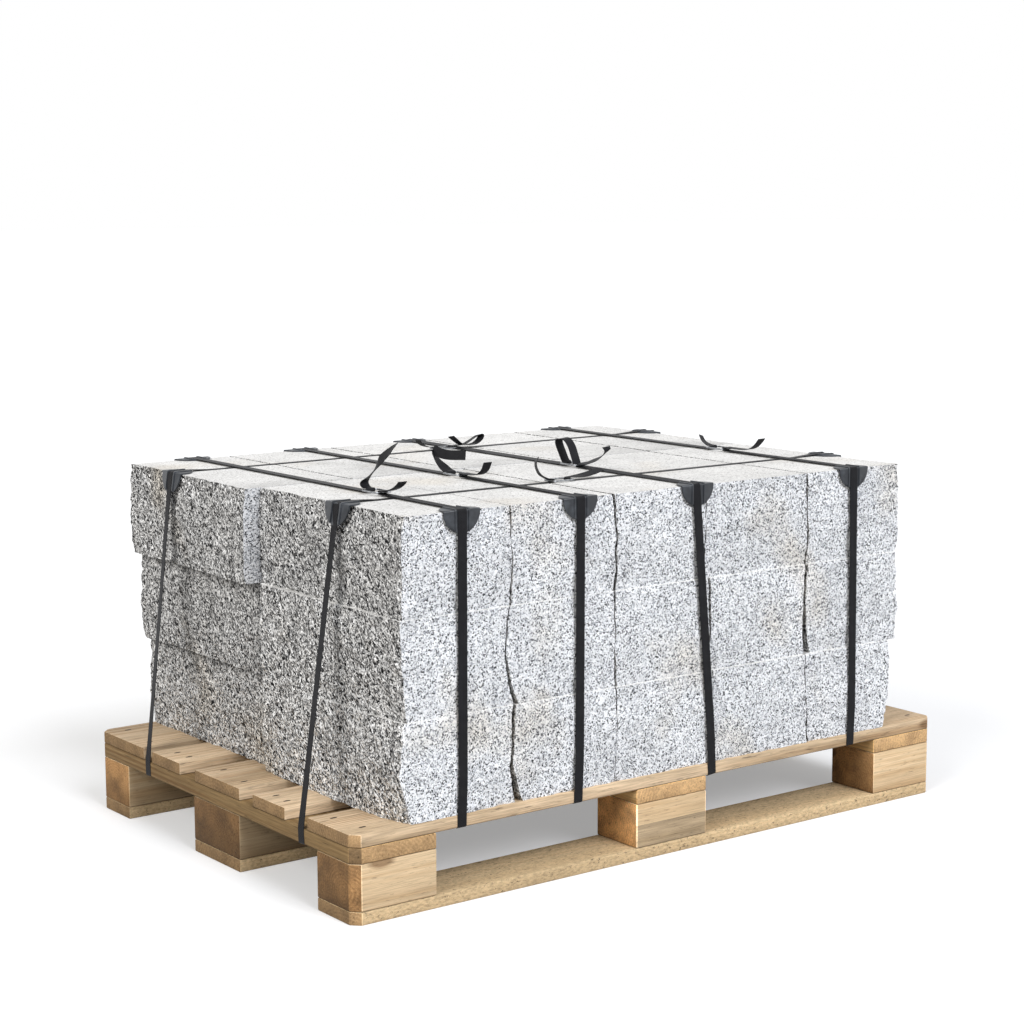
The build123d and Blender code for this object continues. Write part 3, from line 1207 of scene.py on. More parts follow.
    def _worn_corner(self, spot: Spot, gap: float, upper: bool) -> float:
        """Return how far an outer corner of the stack is knocked back, most of all at its beds.

        Args:
            spot: the point.
            gap: how far the corner is from it.
            upper: whether it is near the straight upper edge of the stack.
        """
        near = max(0.0, 1 - gap / self.corner_reach) ** 2
        bed = self.belly_wear_share + (1 - self.belly_wear_share) * (2 * spot.shares.z - 1) ** 2
        uneven = self.wear_mean + self.wear_spread * noise.noise(spot.grain / self.scar)
        wear = self.corner_wear * (1.0 if spot.row is Row.NEAR else self.far_wear_share)
        return wear * near * uneven * (self.upper_wear_share if upper else bed)

    def _swept(self, spot: Spot, size: Vector, number: int) -> float:
        """Return how far a point beside an outer corner of the stack leans along X.

        Args:
            spot: the point.
            size: the block's size.
            number: the block's place in its row.
        """
        leans = CORNER_LEANS_MM.get((spot.row, number))
        if not leans:
            return 0.0
        foot, middle, head = leans[self.courses.index(spot.course)]
        share = 2 * spot.shares.z
        depth = foot + (middle - foot) * share if share < 1 else middle + (head - middle) * (share - 1)
        end = spot.shares.x if number == 1 else 1 - spot.shares.x
        face = spot.shares.y if spot.row is Row.NEAR else 1 - spot.shares.y
        along = max(0.0, 1 - end * size.x / self.sweep_reach)
        across = max(0.0, 1 - face * size.y / self.sweep_reach)
        return depth * MM * along * across

    def _shade(self, spot: Spot, size: Vector) -> float:
        """Return how light the stone is drawn: painted light brightens the near row's ends, most of all
        beside the far row, and painted shade darkens the far row's ends beside the near row and under the
        course above, and the near side of the far top block, which the near row shadows.

        Args:
            spot: the point.
            size: the block's size.
        """
        near = spot.row is Row.NEAR
        # The near side of the far top block, shadowed by the near row: painted shade
        if spot.course == "top" and not near and spot.shares.y < ON_EDGE:
            return self.inner_shade
        if min(spot.shares.x, 1 - spot.shares.x) > ON_EDGE or spot.course == "top":
            return 1.0
        beside = (1 - spot.shares.y if near else spot.shares.y) * size.y / self.shade_reach
        below = (1 - spot.shares.z) * size.z / self.shade_reach
        # Near ends: painted light, brightest beside the far row. Far ends: painted shade beside the near
        # row and under the course above
        if near:
            return self.near_end_tone + self.near_joint_share * self.joint_shade * max(0.0, 1 - beside)
        return self.far_end_painted_shade - self.joint_shade * max(0.0, 1 - beside, 1 - self.ledge_shade_rate * below)

    def _bruised(self, spot: Spot) -> float:
        """Return how much dust lies on the near edges between two courses, most of all on the ends."""
        if spot.row is Row.FAR:
            return 0.0
        top_edge = spot.shares.z > 1 - ON_EDGE and spot.course != "top"
        foot_edge = spot.shares.z < ON_EDGE and spot.course != "bottom"
        edge = 1.0 if min(spot.shares.x, 1 - spot.shares.x) < ON_EDGE else self.face_dust
        return edge if top_edge or foot_edge else 0.0

    def _roughness(self, place: Vector) -> float:
        """Return how far back a point of a split side lies, from 0 to about 1.

        Args:
            place: the point in the block's own stretch of noise.
        """
        swell = self.swell_weight * noise.noise(place / self.swell)
        near, next_near = noise.voronoi(place / self.scar)[0][:2]
        scars = self.scar_weight * (near - self.scar_mean) - self.ridge_weight * (next_near - near)
        pocks = self.pock_weight * noise.noise(place / self.pock)
        grit = self.grit_weight * noise.fractal(place / self.grit, 0.8, 2.0, 2)
        return min(1.0, max(0.0, 0.5 + swell + scars + pocks + grit))

    def _opening(self, spot: Spot, joint: int) -> float:
        """Return how much wider a joint gapes than in the frame.

        Args:
            spot: a point of a block.
            joint: the joint's number, 0 and the row's length for the ends of the stack.
        """
        if not 0 < joint < ROW_LENGTH or spot.row is Row.FAR:
            return 0.0
        return self.near_gaps_mm[self.courses.index(spot.course)][joint - 1] * MM

    def _wander(self, spot: Spot, joint: int) -> float:
        """Return the sideways shift of a joint, the same for the two blocks that meet there.

        Args:
            spot: a point of a block.
            joint: the joint's number, 0 and the row's length for the ends of the stack.

        Returns:
            The shift along X.
        """
        if not 0 < joint < ROW_LENGTH:
            return 0.0
        level = self.courses.index(spot.course)
        by_joint, by_course, by_row = self.joint_steps
        line = by_joint * joint + by_course * level + by_row * spot.row.outward
        near = spot.row is Row.NEAR
        bow = self.near_bows_mm[level][joint - 1] * MM if near else 0.0
        shift = self.near_shifts_mm[level][joint - 1] * MM if near else 0.0
        crooked, fine = (
            noise.noise(Vector((line, spot.place.y / run, spot.place.z / rise)))
            for run, rise in (self.crack_size, self.fine_size)
        )
        curve = bow * (1 - (2 * spot.shares.z - 1) ** 2)
        lean = shift * (self.foot_lean - spot.shares.z)
        return lean + curve + self.crack_wander * (crooked + self.fine_share * fine)


class TimberFace(IntEnum):
    """The finishes of a board or block, by their numbers on its faces."""

    SIDE = 0
    END = 1
    STAINED = 2


class GrainAxis(Enum):
    """The direction of the trunk in a board or block, with the two directions across it."""

    ALONG_X = (0, 1, 2)
    ALONG_Y = (1, 0, 2)


# How light each piece of timber is drawn where it differs from its neighbours: partly each piece's own
# tone, and partly painted shade on the pieces that lie back in shade, under the deck and on the pallet's
# left end
TIMBER_TONES_AND_SHADE = {
    "block_left_far": 0.75,
    "block_left_middle": 0.6,
    "bottom_board_far": 0.9,
    "bottom_board_middle": 0.85,
    "stringer_left": 0.42,
    "deck_board_near_inner": 1.02,
    "deck_board_middle": 0.95,
    "deck_board_far": 0.92,
}

# How much lighter the ends of those pieces are drawn than their sides: painted light on the end grain,
# where light falls on the ends in the pallet's openings and on its front and left
END_TONES_AND_LIGHT = {
    "block_left_far": 2.2,
    "block_left_middle": 1.35,
    "block_left_near": 1.15,
    "block_middle_near": 3.4,
    "block_right_near": 1.6,
    "stringer_left": 3.8,
    "stringer_middle": 2.0,
    "stringer_right": 2.0,
}


@dataclass
class PineTimber:
    """The pallet's boards and blocks, with worn edges, and the nails in its deck."""

    deck: Pine = DECK_PINE
    stringer: Pine = STRINGER_PINE
    block: Pine = BLOCK_PINE
    board_end: Pine = BOARD_END
    block_end: Pine = BLOCK_END
    rough: Pine = ROUGH_PINE
    weathered: Pine = WEATHERED_PINE
    nail: Steel = NAIL_STEEL
    worn_edge: float = 2.2 * MM
    crease: float = 40.0
    end_facing: float = 0.8
    chamfer_facing: float = 0.4
    front_facing: float = 0.2
    # Painted contact shade: the foot edge of each piece that stands on another is darkened
    foot_share: float = 0.8
    foot_contact_shade: float = 0.35
    splash_tone: float = 0.65
    dry_tone: float = 1.1
    chamfer_tone: float = 1.7
    board_pith: float = 90 * MM
    block_pith: float = 22 * MM
    least_pith_share: float = 0.1
    trunk_reach: float = 40.0
    stained_block: str = "block_middle_near"
    stained_share: float = 0.52
    tone_spread: float = 0.05
    nail_radius: float = 2.2 * MM
    nail_sides: int = 12
    nail_top_share: float = 0.8
    nail_stray_mm: tuple[float, float] = (8, 6)
    shaded_dent_stretch: float = 3.0
    nail_rise: float = 0.4 * MM
    nail_inset: float = 30 * MM
    seed: int = 17

    def build(self) -> None:
        """Build the boards, the blocks and the nails."""
        rng = random.Random(self.seed)
        board_end = self.board_end.material()
        boards = (self.deck.material(), board_end)
        stringers = (self.stringer.material(), board_end)
        skids = (self.rough.material(), board_end)
        blocks = (self.block.material(), self.block_end.material(), self.weathered.material())
        for node in sorted(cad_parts):
            if node.startswith("deck_board"):
                self._timber(node, GrainAxis.ALONG_X, boards, "pine_board", rng)
            elif node.startswith("bottom_board"):
                self._timber(node, GrainAxis.ALONG_X, skids, "pine_board", rng)
            elif node.startswith("stringer"):
                self._timber(node, GrainAxis.ALONG_Y, stringers, "pine_board", rng)
            elif node.startswith("block"):
                self._timber(node, GrainAxis.ALONG_X, blocks, "pine_block", rng)
        self._nails(rng)

    def _timber(
        self,
        node: str,
        axis: GrainAxis,
        materials: Sequence[bpy.types.Material],
        slot: str,
        rng: random.Random,
    ) -> None:
        """Dress one board or block.

        Args:
            node: its frame node.
            axis: the direction of its grain.
            materials: the finishes of its sides, its ends and, on a block, its stained foot.
            slot: whether it is a board or a block, "pine_board" or "pine_block".
            rng: the source of its place in the trunk.
        """
        mesh = merged_copy(node)
        round_edges(mesh, mesh.edges[:], self.worn_edge)
        along, across, up = axis.value
        low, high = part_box(node)
        middle = (low + high) / 2
        pith_reach = self.block_pith if slot == "pine_block" else self.board_pith
        pith_side = rng.uniform(-pith_reach, pith_reach)
        pith_drop = rng.uniform(self.least_pith_share, 1.0) * pith_reach
        start = rng.uniform(0.0, self.trunk_reach)
        # The piece's level: its own tone, darkened with painted shade where the piece lies in shade
        level = TIMBER_TONES_AND_SHADE.get(node, 1.0) + rng.uniform(-self.tone_spread, self.tone_spread)
        stain_top = low.z + self.stained_share * (high.z - low.z)
        if node == self.stained_block:
            everything = mesh.verts[:] + mesh.edges[:] + mesh.faces[:]
            bmesh.ops.bisect_plane(
                mesh, geom=everything, plane_co=(0.0, 0.0, stain_top), plane_no=(0.0, 0.0, 1.0)
            )
        grain = mesh.verts.layers.float_vector.new("grain")
        tone = mesh.verts.layers.float.new("tone")
        for vert in mesh.verts:
            place = vert.co - middle
            vert[grain] = Vector((place[along] + start, place[across] - pith_side, place[up] + pith_drop))
            vert[tone] = level
        mesh.normal_update()
        for face in mesh.faces:
            end = abs(face.normal[along]) > self.end_facing
            chamfer = min(abs(face.normal.x), abs(face.normal.y)) > self.chamfer_facing
            face.material_index = TimberFace.END if end or chamfer else TimberFace.SIDE
            for vert in face.verts if end or chamfer else ():
                splashed = vert.co.z < middle.z and slot == "pine_block"
                splash = self.splash_tone if splashed else self.dry_tone
                # The end table brightens these ends with painted light
                vert[tone] = level * splash * END_TONES_AND_LIGHT.get(node, 1.0)
                if chamfer:
                    vert[tone] = level * self.chamfer_tone
            if node == self.stained_block and abs(face.normal.y) > self.front_facing:
                stained = face.calc_center_median().z < stain_top
                face.material_index = TimberFace.STAINED if stained else TimberFace.SIDE
        # Painted contact shade along the foot, where a piece stands on the one below
        for vert in mesh.verts:
            if vert.co.z < low.z + self.foot_share * self.worn_edge and not node.startswith("bottom"):
                vert[tone] *= self.foot_contact_shade
        sharpen(mesh, self.crease)
        finish_piece(mesh, f"timber_{node}", materials, [node])

    def _nails(self, rng: random.Random) -> None:
        """Drive two nails through each deck board into each stringer.

        Args:
            rng: the source of the nails' uneven places.
        """
        heads = bmesh.new()
        stray_x, stray_y = self.nail_stray_mm
        for deck in sorted(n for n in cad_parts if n.startswith("deck_board")):
            deck_low, deck_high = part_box(deck)
            for stringer in sorted(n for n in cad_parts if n.startswith("stringer")):
                low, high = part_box(stringer)
                for x in (low.x + self.nail_inset, high.x - self.nail_inset):
                    for y in (deck_low.y + self.nail_inset, deck_high.y - self.nail_inset):
                        spot = Vector((x, y, deck_high.z))
                        stray = (rng.uniform(-stray_x, stray_x), rng.uniform(-stray_y, stray_y), 0.0)
                        spot += Vector(stray) * MM
                        self._nail_head(heads, spot)
        finish_piece(heads, "nail_heads", [self.nail.material()])

    def _nail_head(self, heads: bmesh.types.BMesh, spot: Vector) -> None:
        """Add one nail head.

        Args:
            heads: the mesh of all the heads.
            spot: the middle of the head on its board.
        """
        disc = bmesh.ops.create_circle(
            heads,
            cap_ends=True,
            segments=self.nail_sides,
            radius=self.nail_radius,
            matrix=Matrix.Translation(spot),
        )
        face = disc["verts"][0].link_faces[0]
        raised = bmesh.ops.extrude_face_region(heads, geom=[face])
        top = [item for item in raised["geom"] if isinstance(item, bmesh.types.BMVert)]
        bmesh.ops.translate(heads, vec=(0.0, 0.0, self.nail_rise), verts=top)
        middle = Matrix.Translation(-spot)
        shrink = (self.nail_top_share, self.nail_top_share, 1.0)
        # Each head is drawn out along the board into a dark mark: the rusty head with painted shade of
        # its dent
        stretch = (self.shaded_dent_stretch, 1.0, 1.0)
        bmesh.ops.scale(heads, vec=shrink, verts=top, space=middle)
        bmesh.ops.scale(heads, vec=stretch, verts=disc["verts"] + top, space=middle)
        bmesh.ops.recalc_face_normals(heads, faces=heads.faces[-self.nail_sides - 2 :])


class Run(Enum):
    """The way a strap goes round the load: its level axis, and the axis that it leans along."""

    CROSS = (1, 0)
    LONG = (0, 1)


@dataclass(frozen=True)
class Knot:
    """A point of a free strap end: millimetres out from its buckle's bar and up, twist, and sideways."""

    out: float
    up: float
    twist: float = 0.0
    side: float = 0.0


def tail(*points: tuple[float, ...]) -> tuple[Knot, ...]:
    """Return the knots of a free strap end."""
    return tuple(Knot(*point) for point in points)


@dataclass(frozen=True)
class StrapPlan:
    """One strap: its node, its way round the load, its buckle's place and its two free ends.

    face_twist is how far the strap is turned, in degrees, half-way down the side where it is slack.
    """

    node: str
    run: Run
    buckle: float
    low_tail: tuple[Knot, ...]
    high_tail: tuple[Knot, ...]
    face_twist: float = 0.0


STRAP_PLANS = (
    StrapPlan(
        "cross_strap_1",
        Run.CROSS,
        -181.0,
        tail((8, 0), (23, 3), (38, 8), (50, 15), (54, 19)),
        tail((9, 0), (16, 5), (13, 12, 10), (-7, 26, 35), (-30, 47, 78), (-56, 63, 60), (-71, 72, 38)),
    ),
    StrapPlan(
        "cross_strap_2",
        Run.CROSS,
        -84.8,
        tail((20, 0), (42, 2), (58, 10), (67, 24)),
        tail(
            *((8, 0, -15), (20, 5, -15), (37, 15, 15), (50, 27, 45)),
            *((48, 31, 60), (35, 28, 70), (8, 26, 80), (-41, 30, 82)),
        ),
    ),
    StrapPlan(
        "cross_strap_3",
        Run.CROSS,
        -97.0,
        tail((12, 1, 10), (28, 5, 22), (52, 13, 24), (68, 22, 24), (76, 29, 15), (73, 35)),
        tail((4, 2), (11, 15), (18, 31), (13, 38), (-4, 39), (-16, 29), (-23, 13), (-28, -1)),
    ),
    StrapPlan(
        "cross_strap_4",
        Run.CROSS,
        -75.0,
        tail((28, 0), (55, 1), (70, 5), (81, 12), (92, 23)),
        tail((6, 0), (17, 3, 12), (26, 8, 22), (32, 16, 26)),
    ),
    StrapPlan(
        "long_strap_near",
        Run.LONG,
        -96.0,
        tail((4, 0), (17, 6, -8), (24, 13, -18), (28, 22, -24), (28, 30, -27), (24, 36, -28)),
        tail((14, 0, 8), (31, 1, 16), (50, 4, 18), (67, 8, 12)),
        7.0,
    ),
    StrapPlan(
        "long_strap_far",
        Run.LONG,
        15.0,
        tail((4, 0), (13, 1), (24, 4), (32, 9), (36, 15)),
        tail(
            *((14, 0), (28, 2, -6, -2), (42, 9, -10, -4), (54, 16, -10, -7), (60, 16, -10, -9)),
            *((54, 9, -8, -11), (42, 3, -4, -12), (24, 2, 0, -12), (12, 4, 4, -12)),
            *((2, 11, 8, -12), (-8, 19, 10, -12)),
        ),
        11.0,
    ),
)


@dataclass(frozen=True)
class Station:
    """A point of a strap's middle line in the plane of its loop, with its twist and drift."""

    along: float
    height: float
    twist: float = 0.0
    drift: float = 0.0


@dataclass
class Strapping:
    """The six straps, each one ribbon from tip to tip, and the wire buckles that they hook round."""

    band: StrapBand = StrapBand()
    wire: Steel = GALVANISED_WIRE
    width: float = 16 * MM
    thickness: float = 0.9 * MM
    clearance: float = 0.3 * MM
    protector_thickness: float = 2.5 * MM
    wire_diameter: float = 3 * MM
    buckle_length: float = 42 * MM
    buckle_side_room: float = 7 * MM
    buckle_inset: float = 5 * MM
    bend: float = 4 * MM
    bend_pull: float = 0.55
    twist_rise: float = 0.4
    crease: float = 50.0
    belly_share: float = 0.35
    ray_start: float = -2.0
    ray_depth: float = 5 * MM
    arc_steps: int = 8
    bend_steps: int = 5
    run_steps: int = 14
    face_corner: int = 2
    slack_start: float = 36 * MM
    slack_end: float = 75 * MM

    def build(self) -> None:
        """Build the straps and their buckles."""
        material = self.band.material()
        rings = bmesh.new()
        for plan in STRAP_PLANS:
            lean = self._lean(plan)
            level = self._level(plan.run)
            stations = self._stations(plan, level)
            ribbon = self._ribbon([self._place(plan, lean, s) for s in stations])
            finish_piece(ribbon, f"band_{plan.node}", [material], [plan.node])
            self._ring(rings, plan, lean, level)
        finish_piece(rings, "buckle_rings", [self.wire.material()], ["wire_buckles"])

    def _top(self) -> float:
        """Return the height of the top of the load."""
        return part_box("kerb_top_near_2")[1].z

    def _level(self, run: Run) -> float:
        """Return the height of a strap's middle line on top of the load."""
        top = self._top()
        if run is Run.CROSS:
            top += self.protector_thickness
        return top + self.clearance + self.thickness / 2

    def _lean(self, plan: StrapPlan) -> tuple[float, float]:
        """Return the places of a strap's top and foot along the axis that it leans along.

        Args:
            plan: the strap.
        """
        low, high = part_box(plan.node)
        leaning = plan.run.value[1]
        first = low[leaning] + self.width / 2
        last = high[leaning] - self.width / 2
        return (first, last) if plan.run is Run.CROSS else (last, first)

    def _corners(self, plan: StrapPlan, level: float) -> list[tuple[float, float]]:
        """Return the corners of a strap's loop, from its buckle round the low side and back.

        Args:
            plan: the strap.
            level: the height of its middle line on top of the load.

        Returns:
            Places along the loop's level axis, with their heights.
        """
        gap = self.clearance + self.thickness / 2
        stringer_low, stringer_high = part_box("stringer_left")
        stack_low, stack_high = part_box("kerb_bottom_near_2")
        if plan.run is Run.CROSS:
            deep = max(-stack_low.y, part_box("kerb_middle_near_2")[1].y)
            wide = -stringer_low.y
            belly = stack_low.z + self.belly_share * (stack_high.z - stack_low.z)
            reach = deep + self.protector_thickness + gap
            half = [
                (reach, level),
                (deep + gap, belly),
                (wide + gap, stringer_high.z - gap),
            ]
            return [(-a, h) for a, h in half] + list(reversed(half))
        row = plan.node.rsplit("_", 1)[1]
        top_place = self._lean(plan)[0]
        from_left = Vector((self.ray_start, top_place, self._top() - self.ray_depth))
        hit = surface_of(f"kerb_top_{row}_1").ray_cast(from_left, Vector((1.0, 0.0, 0.0)))[0]
        left = hit.x - self.protector_thickness - gap
        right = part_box("kerb_top_near_5")[1].x + self.protector_thickness + gap
        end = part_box("deck_board_near")[1].x + gap
        foot = stringer_low.z - gap
        shoulder = stringer_high.z
        over = level + self.protector_thickness
        return [
            (left + self.slack_end, level),
            (left + self.slack_start, over),
            (left, over),
            (-end, shoulder),
            (-end, foot),
            (end, foot),
            (end, shoulder),
            (right, over),
            (right - self.slack_start, over),
            (right - self.slack_end, level),
        ]

    def _stations(self, plan: StrapPlan, level: float) -> list[Station]:
        """Return the stations of a whole strap, from tip to tip.

        Args:
            plan: the strap.
            level: the height of its middle line on top of the load.
        """
        bar = self.buckle_length / 2 - self.wire_diameter
        low_bar = plan.buckle * MM - bar
        high_bar = plan.buckle * MM + bar
        corners = self._corners(plan, level)
        route = [(low_bar, level)] + corners + [(high_bar, level)]
        loop = [Station(low_bar, level)]
        for number, (before, corner, after) in enumerate(zip(route, route[1:], route[2:])):
            loop += self._bend(Vector(before), Vector(corner), Vector(after))
            if number == self.face_corner and plan.face_twist:
                loop += self._turned_run(Vector(corner), Vector(after), math.radians(plan.face_twist))
        loop.append(Station(high_bar, level))
        low_end = self._free_end(low_bar, level, -1, plan.low_tail)
        high_end = self._free_end(high_bar, level, 1, plan.high_tail)
        return list(reversed(low_end)) + loop + high_end

    def _turned_run(self, start: Vector, end: Vector, twist: float) -> list[Station]:
        """Return the stations of a straight run that turns about itself and back.

        Args:
            start: the corner before the run.
            end: the corner after it.
            twist: the turn at the middle of the run.
        """
        stations = []
        for step in range(1, self.run_steps):
            share = step / self.run_steps
            point = start.lerp(end, share)
            turned = twist * math.sin(math.pi * share) ** self.twist_rise
            stations.append(Station(point.x, point.y, turned))
        return stations

    def _bend(self, before: Vector, corner: Vector, after: Vector) -> list[Station]:
        """Return the stations of a rounded corner.

        Args:
            before: the corner before it.
            corner: the corner itself.
            after: the corner after it.
        """
        start = corner + (before - corner).normalized() * self.bend
        end = corner + (after - corner).normalized() * self.bend
        pulls = (start.lerp(corner, self.bend_pull), end.lerp(corner, self.bend_pull))
        curve = geometry.interpolate_bezier(start, *pulls, end, self.bend_steps)
        return [Station(point.x, point.y) for point in curve]

    def _free_end(self, bar: float, level: float, sign: int, tail: Sequence[Knot]) -> list[Station]:
        """Return the stations of a hook round a buckle's bar and of the free end after it.

        Args:
            bar: the place of the bar along the loop.
            level: the height of the strap's middle line on the load.
            sign: the way that the free end goes.
            tail: the knots of the free end.
        """
        hook = self.wire_diameter / 2 + self.clearance + self.thickness / 2
        stations = []
        for step in range(1, self.arc_steps + 1):
            turn = math.pi * step / self.arc_steps
            stations.append(
                Station(bar - sign * hook * math.sin(turn), level + hook * (1 - math.cos(turn)))
            )
        height = level + 2 * hook
        knots = [Knot(0, 0)] + list(tail)
        places = [Vector((knot.out, knot.up, knot.side)) * MM for knot in knots]
        first = places[0] - (places[1] - places[0])
        last = places[-1] + (places[-1] - places[-2])
        line = [first] + places + [last]
        for number in range(1, len(places)):
            before, start, end, after = line[number - 1 : number + 3]
            curve = geometry.interpolate_bezier(
                start, start + (end - before) / 6, end - (after - start) / 6, end, self.arc_steps + 1
            )
            for step, point in enumerate(curve[1:], 1):
                share = step / self.arc_steps
                twist = (1 - share) * knots[number - 1].twist + share * knots[number].twist
                stations.append(
                    Station(bar + sign * point.x, height + point.y, sign * math.radians(twist), point.z)
                )
        return stations

    def _place(
        self, plan: StrapPlan, lean: tuple[float, float], station: Station
    ) -> tuple[Vector, Vector, float]:
        """Return where a station lies, the direction of the strap's width there, and its twist.

        Args:
            plan: the strap.
            lean: the places of its top and foot.
            station: the station in the plane of the loop.
        """
        along, leaning = plan.run.value
        top_height = self._top()
        foot_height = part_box("stringer_left")[1].z
        slope = (lean[1] - lean[0]) / (top_height - foot_height)
        place = Vector((0.0, 0.0, station.height))
        place[along] = station.along
        place[leaning] = lean[0] + slope * (top_height - station.height) + station.drift
        side = Vector((0.0, 0.0, slope))
        side[leaning] = 1.0
        return place, side.normalized(), station.twist

    def _ribbon(self, places: list[tuple[Vector, Vector, float]]) -> bmesh.types.BMesh:
        """Sweep a flat ribbon along its stations and give it thickness.

        Args:
            places: the stations' places, width directions and twists.

        Returns:
            The ribbon, with its places along and across in the attribute "band".
        """
        mesh = bmesh.new()
        band = mesh.verts.layers.float_vector.new("band")
        points = [place for place, _, _ in places]
        gone = 0.0
        edge = None
        for number, (place, side, twist) in enumerate(places):
            ahead = points[min(number + 1, len(points) - 1)]
            behind = points[max(number - 1, 0)]
            side = Matrix.Rotation(twist, 3, (ahead - behind).normalized()) @ side
            gone += (place - behind).length
            if edge is None:
                pair = [mesh.verts.new(place) for _ in range(2)]
                edge = mesh.edges.new(pair)
            else:
                grown = bmesh.ops.extrude_edge_only(mesh, edges=[edge])["geom"]
                edge = next(item for item in grown if isinstance(item, bmesh.types.BMEdge))
                pair = self._matched(edge, pair)
            for vert, half in zip(pair, (-self.width / 2, self.width / 2)):
                vert.co = place + half * side
                vert[band] = Vector((gone, half, 0.0))
        bmesh.ops.recalc_face_normals(mesh, faces=mesh.faces)
        bmesh.ops.solidify(mesh, geom=mesh.faces[:], thickness=self.thickness)
        bmesh.ops.recalc_face_normals(mesh, faces=mesh.faces)
        sharpen(mesh, self.crease)
        return mesh

    def _matched(
        self, edge: bmesh.types.BMEdge, pair: list[bmesh.types.BMVert]
    ) -> list[bmesh.types.BMVert]:
        """Return the ends of a grown edge in the order of the edge that it grew from."""
        first, second = edge.verts
        linked = any(e.other_vert(first) is pair[0] for e in first.link_edges)
        return [first, second] if linked else [second, first]

    def _ring(
        self, rings: bmesh.types.BMesh, plan: StrapPlan, lean: tuple[float, float], level: float
    ) -> None:
        """Add the wire ring of one strap's buckle.

        Args:
            rings: the mesh of all the rings.
            plan: the strap.
            lean: the places of its top and foot.
            level: the height of its middle line on the load.
        """
        height = level + self.wire_diameter / 2 + self.clearance + self.thickness / 2
        half_length = self.buckle_length / 2 - self.wire_diameter / 2
        half_width = self.width / 2 + self.buckle_side_room - self.wire_diameter / 2
        curve = bpy.data.curves.new("ring", "CURVE")
        curve.dimensions = "3D"
        curve.bevel_depth = self.wire_diameter / 2
        curve.bevel_resolution = 3
        spline = curve.splines.new("NURBS")
        inset = self.buckle_inset
        outline = []
        for sign_a, sign_b in ((1, -1), (1, 1), (-1, 1), (-1, -1)):
            ends = [
                (sign_a * half_length, sign_b * (half_width - inset)),
                (sign_a * half_length, sign_b * half_width),
                (sign_a * (half_length - inset), sign_b * half_width),
            ]
            outline += ends if sign_a * sign_b > 0 else reversed(ends)
        spline.points.add(len(outline) - 1)
        along, leaning = plan.run.value
        for point, (a, b) in zip(spline.points, outline):
            place = Vector((0.0, 0.0, height))
            place[along] = plan.buckle * MM + a
            place[leaning] = lean[0] + b
            point.co = (*place, 1.0)
        spline.use_cyclic_u = True
        spline.order_u = 3
        holder = bpy.data.objects.new("ring", curve)
        bpy.context.scene.collection.objects.link(holder)
        solid = holder.evaluated_get(bpy.context.evaluated_depsgraph_get())
        shape = bpy.data.meshes.new_from_object(solid)
        rings.from_mesh(shape)
        bpy.data.objects.remove(holder)
        bpy.data.curves.remove(curve)
        bpy.data.meshes.remove(shape)


@dataclass
class EdgeProtectors:
    """The moulded corner angles under the straps, with rounded edges."""

    plastic: MouldedPlastic = MouldedPlastic()
    nodes: tuple[str, ...] = ("edge_protectors_cross", "edge_protectors_long")
    rounding: float = 0.5 * MM
    crease: float = 35.0

    def build(self) -> None:
        """Build both sets of protectors."""
        material = self.plastic.material()
        for node in self.nodes:
            mesh = merged_copy(node)
            sharp = [e for e in mesh.edges if e.calc_face_angle(0.0) > math.radians(self.crease)]
            round_edges(mesh, sharp, self.rounding, clamp=True)
            sharpen(mesh, self.crease)
            finish_piece(mesh, f"moulded_{node}", [material], [node])


@dataclass(frozen=True)
class SunLamp:
    """A soft far light: its name, strength, softness in degrees and the way to it."""

    name: str
    strength: float
    angle: float
    colour: str
    toward: tuple[float, float, float]


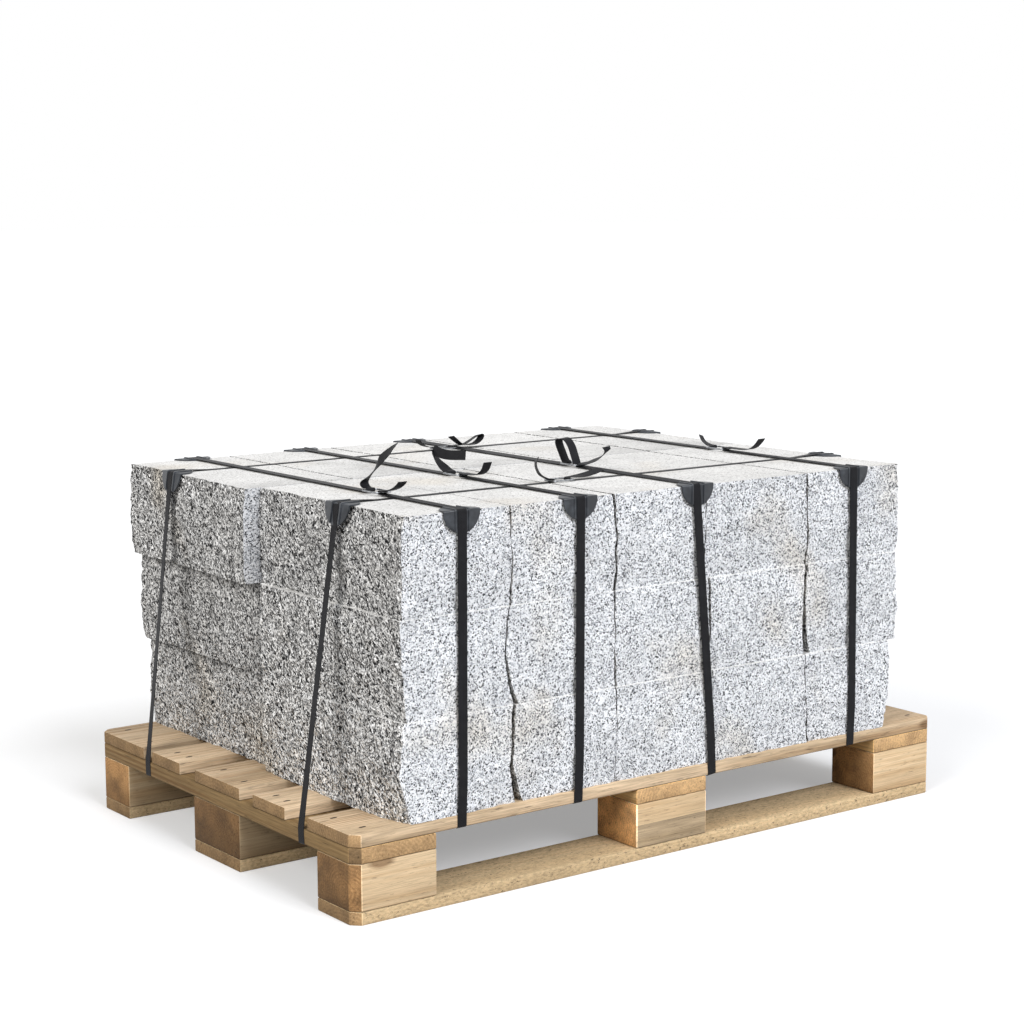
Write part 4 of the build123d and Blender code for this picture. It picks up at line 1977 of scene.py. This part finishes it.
@dataclass
class Studio:
    """A white floor, a soft key light, a fill from the left, a pale sky and the camera."""

    floor_half: float = 60.0
    floor_seen: str = "#d6d6d6"
    floor_bounce: str = "#a09d99"
    floor_glow: float = 0.33
    floor_roughness: float = 0.9
    lamps: tuple[SunLamp, ...] = (
        SunLamp("key", 2.90, 30.0, "#f6f9ff", (0.06, -0.78, 0.62)),
        SunLamp("fill", 1.95, 30.0, "#fffdfa", (-0.83, -0.20, 0.52)),
    )
    sky_level: float = 0.40
    camera_place: tuple[float, float, float] = (-2.23246, -2.97212, 1.03987)
    camera_azimuth: float = -36.70
    camera_elevation: float = 8.20
    camera_roll: float = -0.21
    lens_mm: float = 77.355
    sensor_mm: float = 36.0

    def build(self) -> None:
        """Build the floor, the lights and the camera."""
        self._floor()
        for lamp in self.lamps:
            self._lamp(lamp)
        self._sky()
        self._camera()
        bpy.context.scene.view_settings.view_transform = "Standard"

    def _floor(self) -> None:
        """Lay the floor, which the camera sees as white and which throws back less light."""
        material, kit = start_material("white_floor")
        seen = kit.seen()
        kit.shade(
            {
                "Base Color": kit.laid(seen, self.floor_bounce, self.floor_seen),
                "Emission Strength": kit.level(seen, (0.0, 1.0), (0.0, self.floor_glow)),
            },
            {"Emission Color": grey(1.0), "Roughness": self.floor_roughness, "Specular IOR Level": 0.0},
        )
        mesh = bmesh.new()
        bmesh.ops.create_grid(mesh, x_segments=1, y_segments=1, size=self.floor_half)
        floor = link_mesh(mesh, "floor", [material])

    def _lamp(self, plan: SunLamp) -> None:
        """Hang one light.

        Args:
            plan: the light.
        """
        lamp = bpy.data.lights.new(plan.name, "SUN")
        lamp.energy = plan.strength
        lamp.angle = math.radians(plan.angle)
        lamp.color = linear(plan.colour)[:3]
        holder = bpy.data.objects.new(plan.name, lamp)
        holder.rotation_euler = Vector(plan.toward).to_track_quat("Z", "Y").to_euler()
        bpy.context.scene.collection.objects.link(holder)

    def _sky(self) -> None:
        """Fill the scene with an even pale light, and let the camera see white."""
        world = bpy.data.worlds.new("sky")
        bpy.context.scene.world = world
        world.use_nodes = True
        kit = NodeKit(world.node_tree)
        light = world.node_tree.nodes["Background"].inputs
        level = kit.level(kit.seen(), (0.0, 1.0), (self.sky_level, 1.0))
        world.node_tree.links.new(level, light["Strength"])
        light["Color"].default_value = grey(1.0)

    def _camera(self) -> None:
        """Set the camera where the photograph was taken from."""
        azimuth = math.radians(self.camera_azimuth)
        elevation = math.radians(self.camera_elevation)
        roll = math.radians(self.camera_roll)
        level = math.cos(elevation)
        back = Vector((math.sin(azimuth) * level, -math.cos(azimuth) * level, math.sin(elevation)))
        right = Vector((math.cos(azimuth), math.sin(azimuth), 0.0))
        up = back.cross(right)
        turned_right = right * math.cos(roll) + up * math.sin(roll)
        turned_up = up * math.cos(roll) - right * math.sin(roll)
        lens = bpy.data.cameras.new("camera")
        lens.lens = self.lens_mm
        lens.sensor_width = self.sensor_mm
        camera = bpy.data.objects.new("camera", lens)
        turn = Matrix((turned_right, turned_up, back)).transposed().to_4x4()
        camera.matrix_world = Matrix.Translation(Vector(self.camera_place)) @ turn
        bpy.context.scene.collection.objects.link(camera)
        bpy.context.scene.camera = camera


def main() -> None:
    """Build the stage and every sub-assembly of the loaded pallet."""
    logging.basicConfig(level=logging.INFO, format="%(name)s %(message)s")
    for part in (Studio(), KerbStack(), PineTimber(), Strapping(), EdgeProtectors()):
        part.build()


if __name__ == "__main__":
    main()
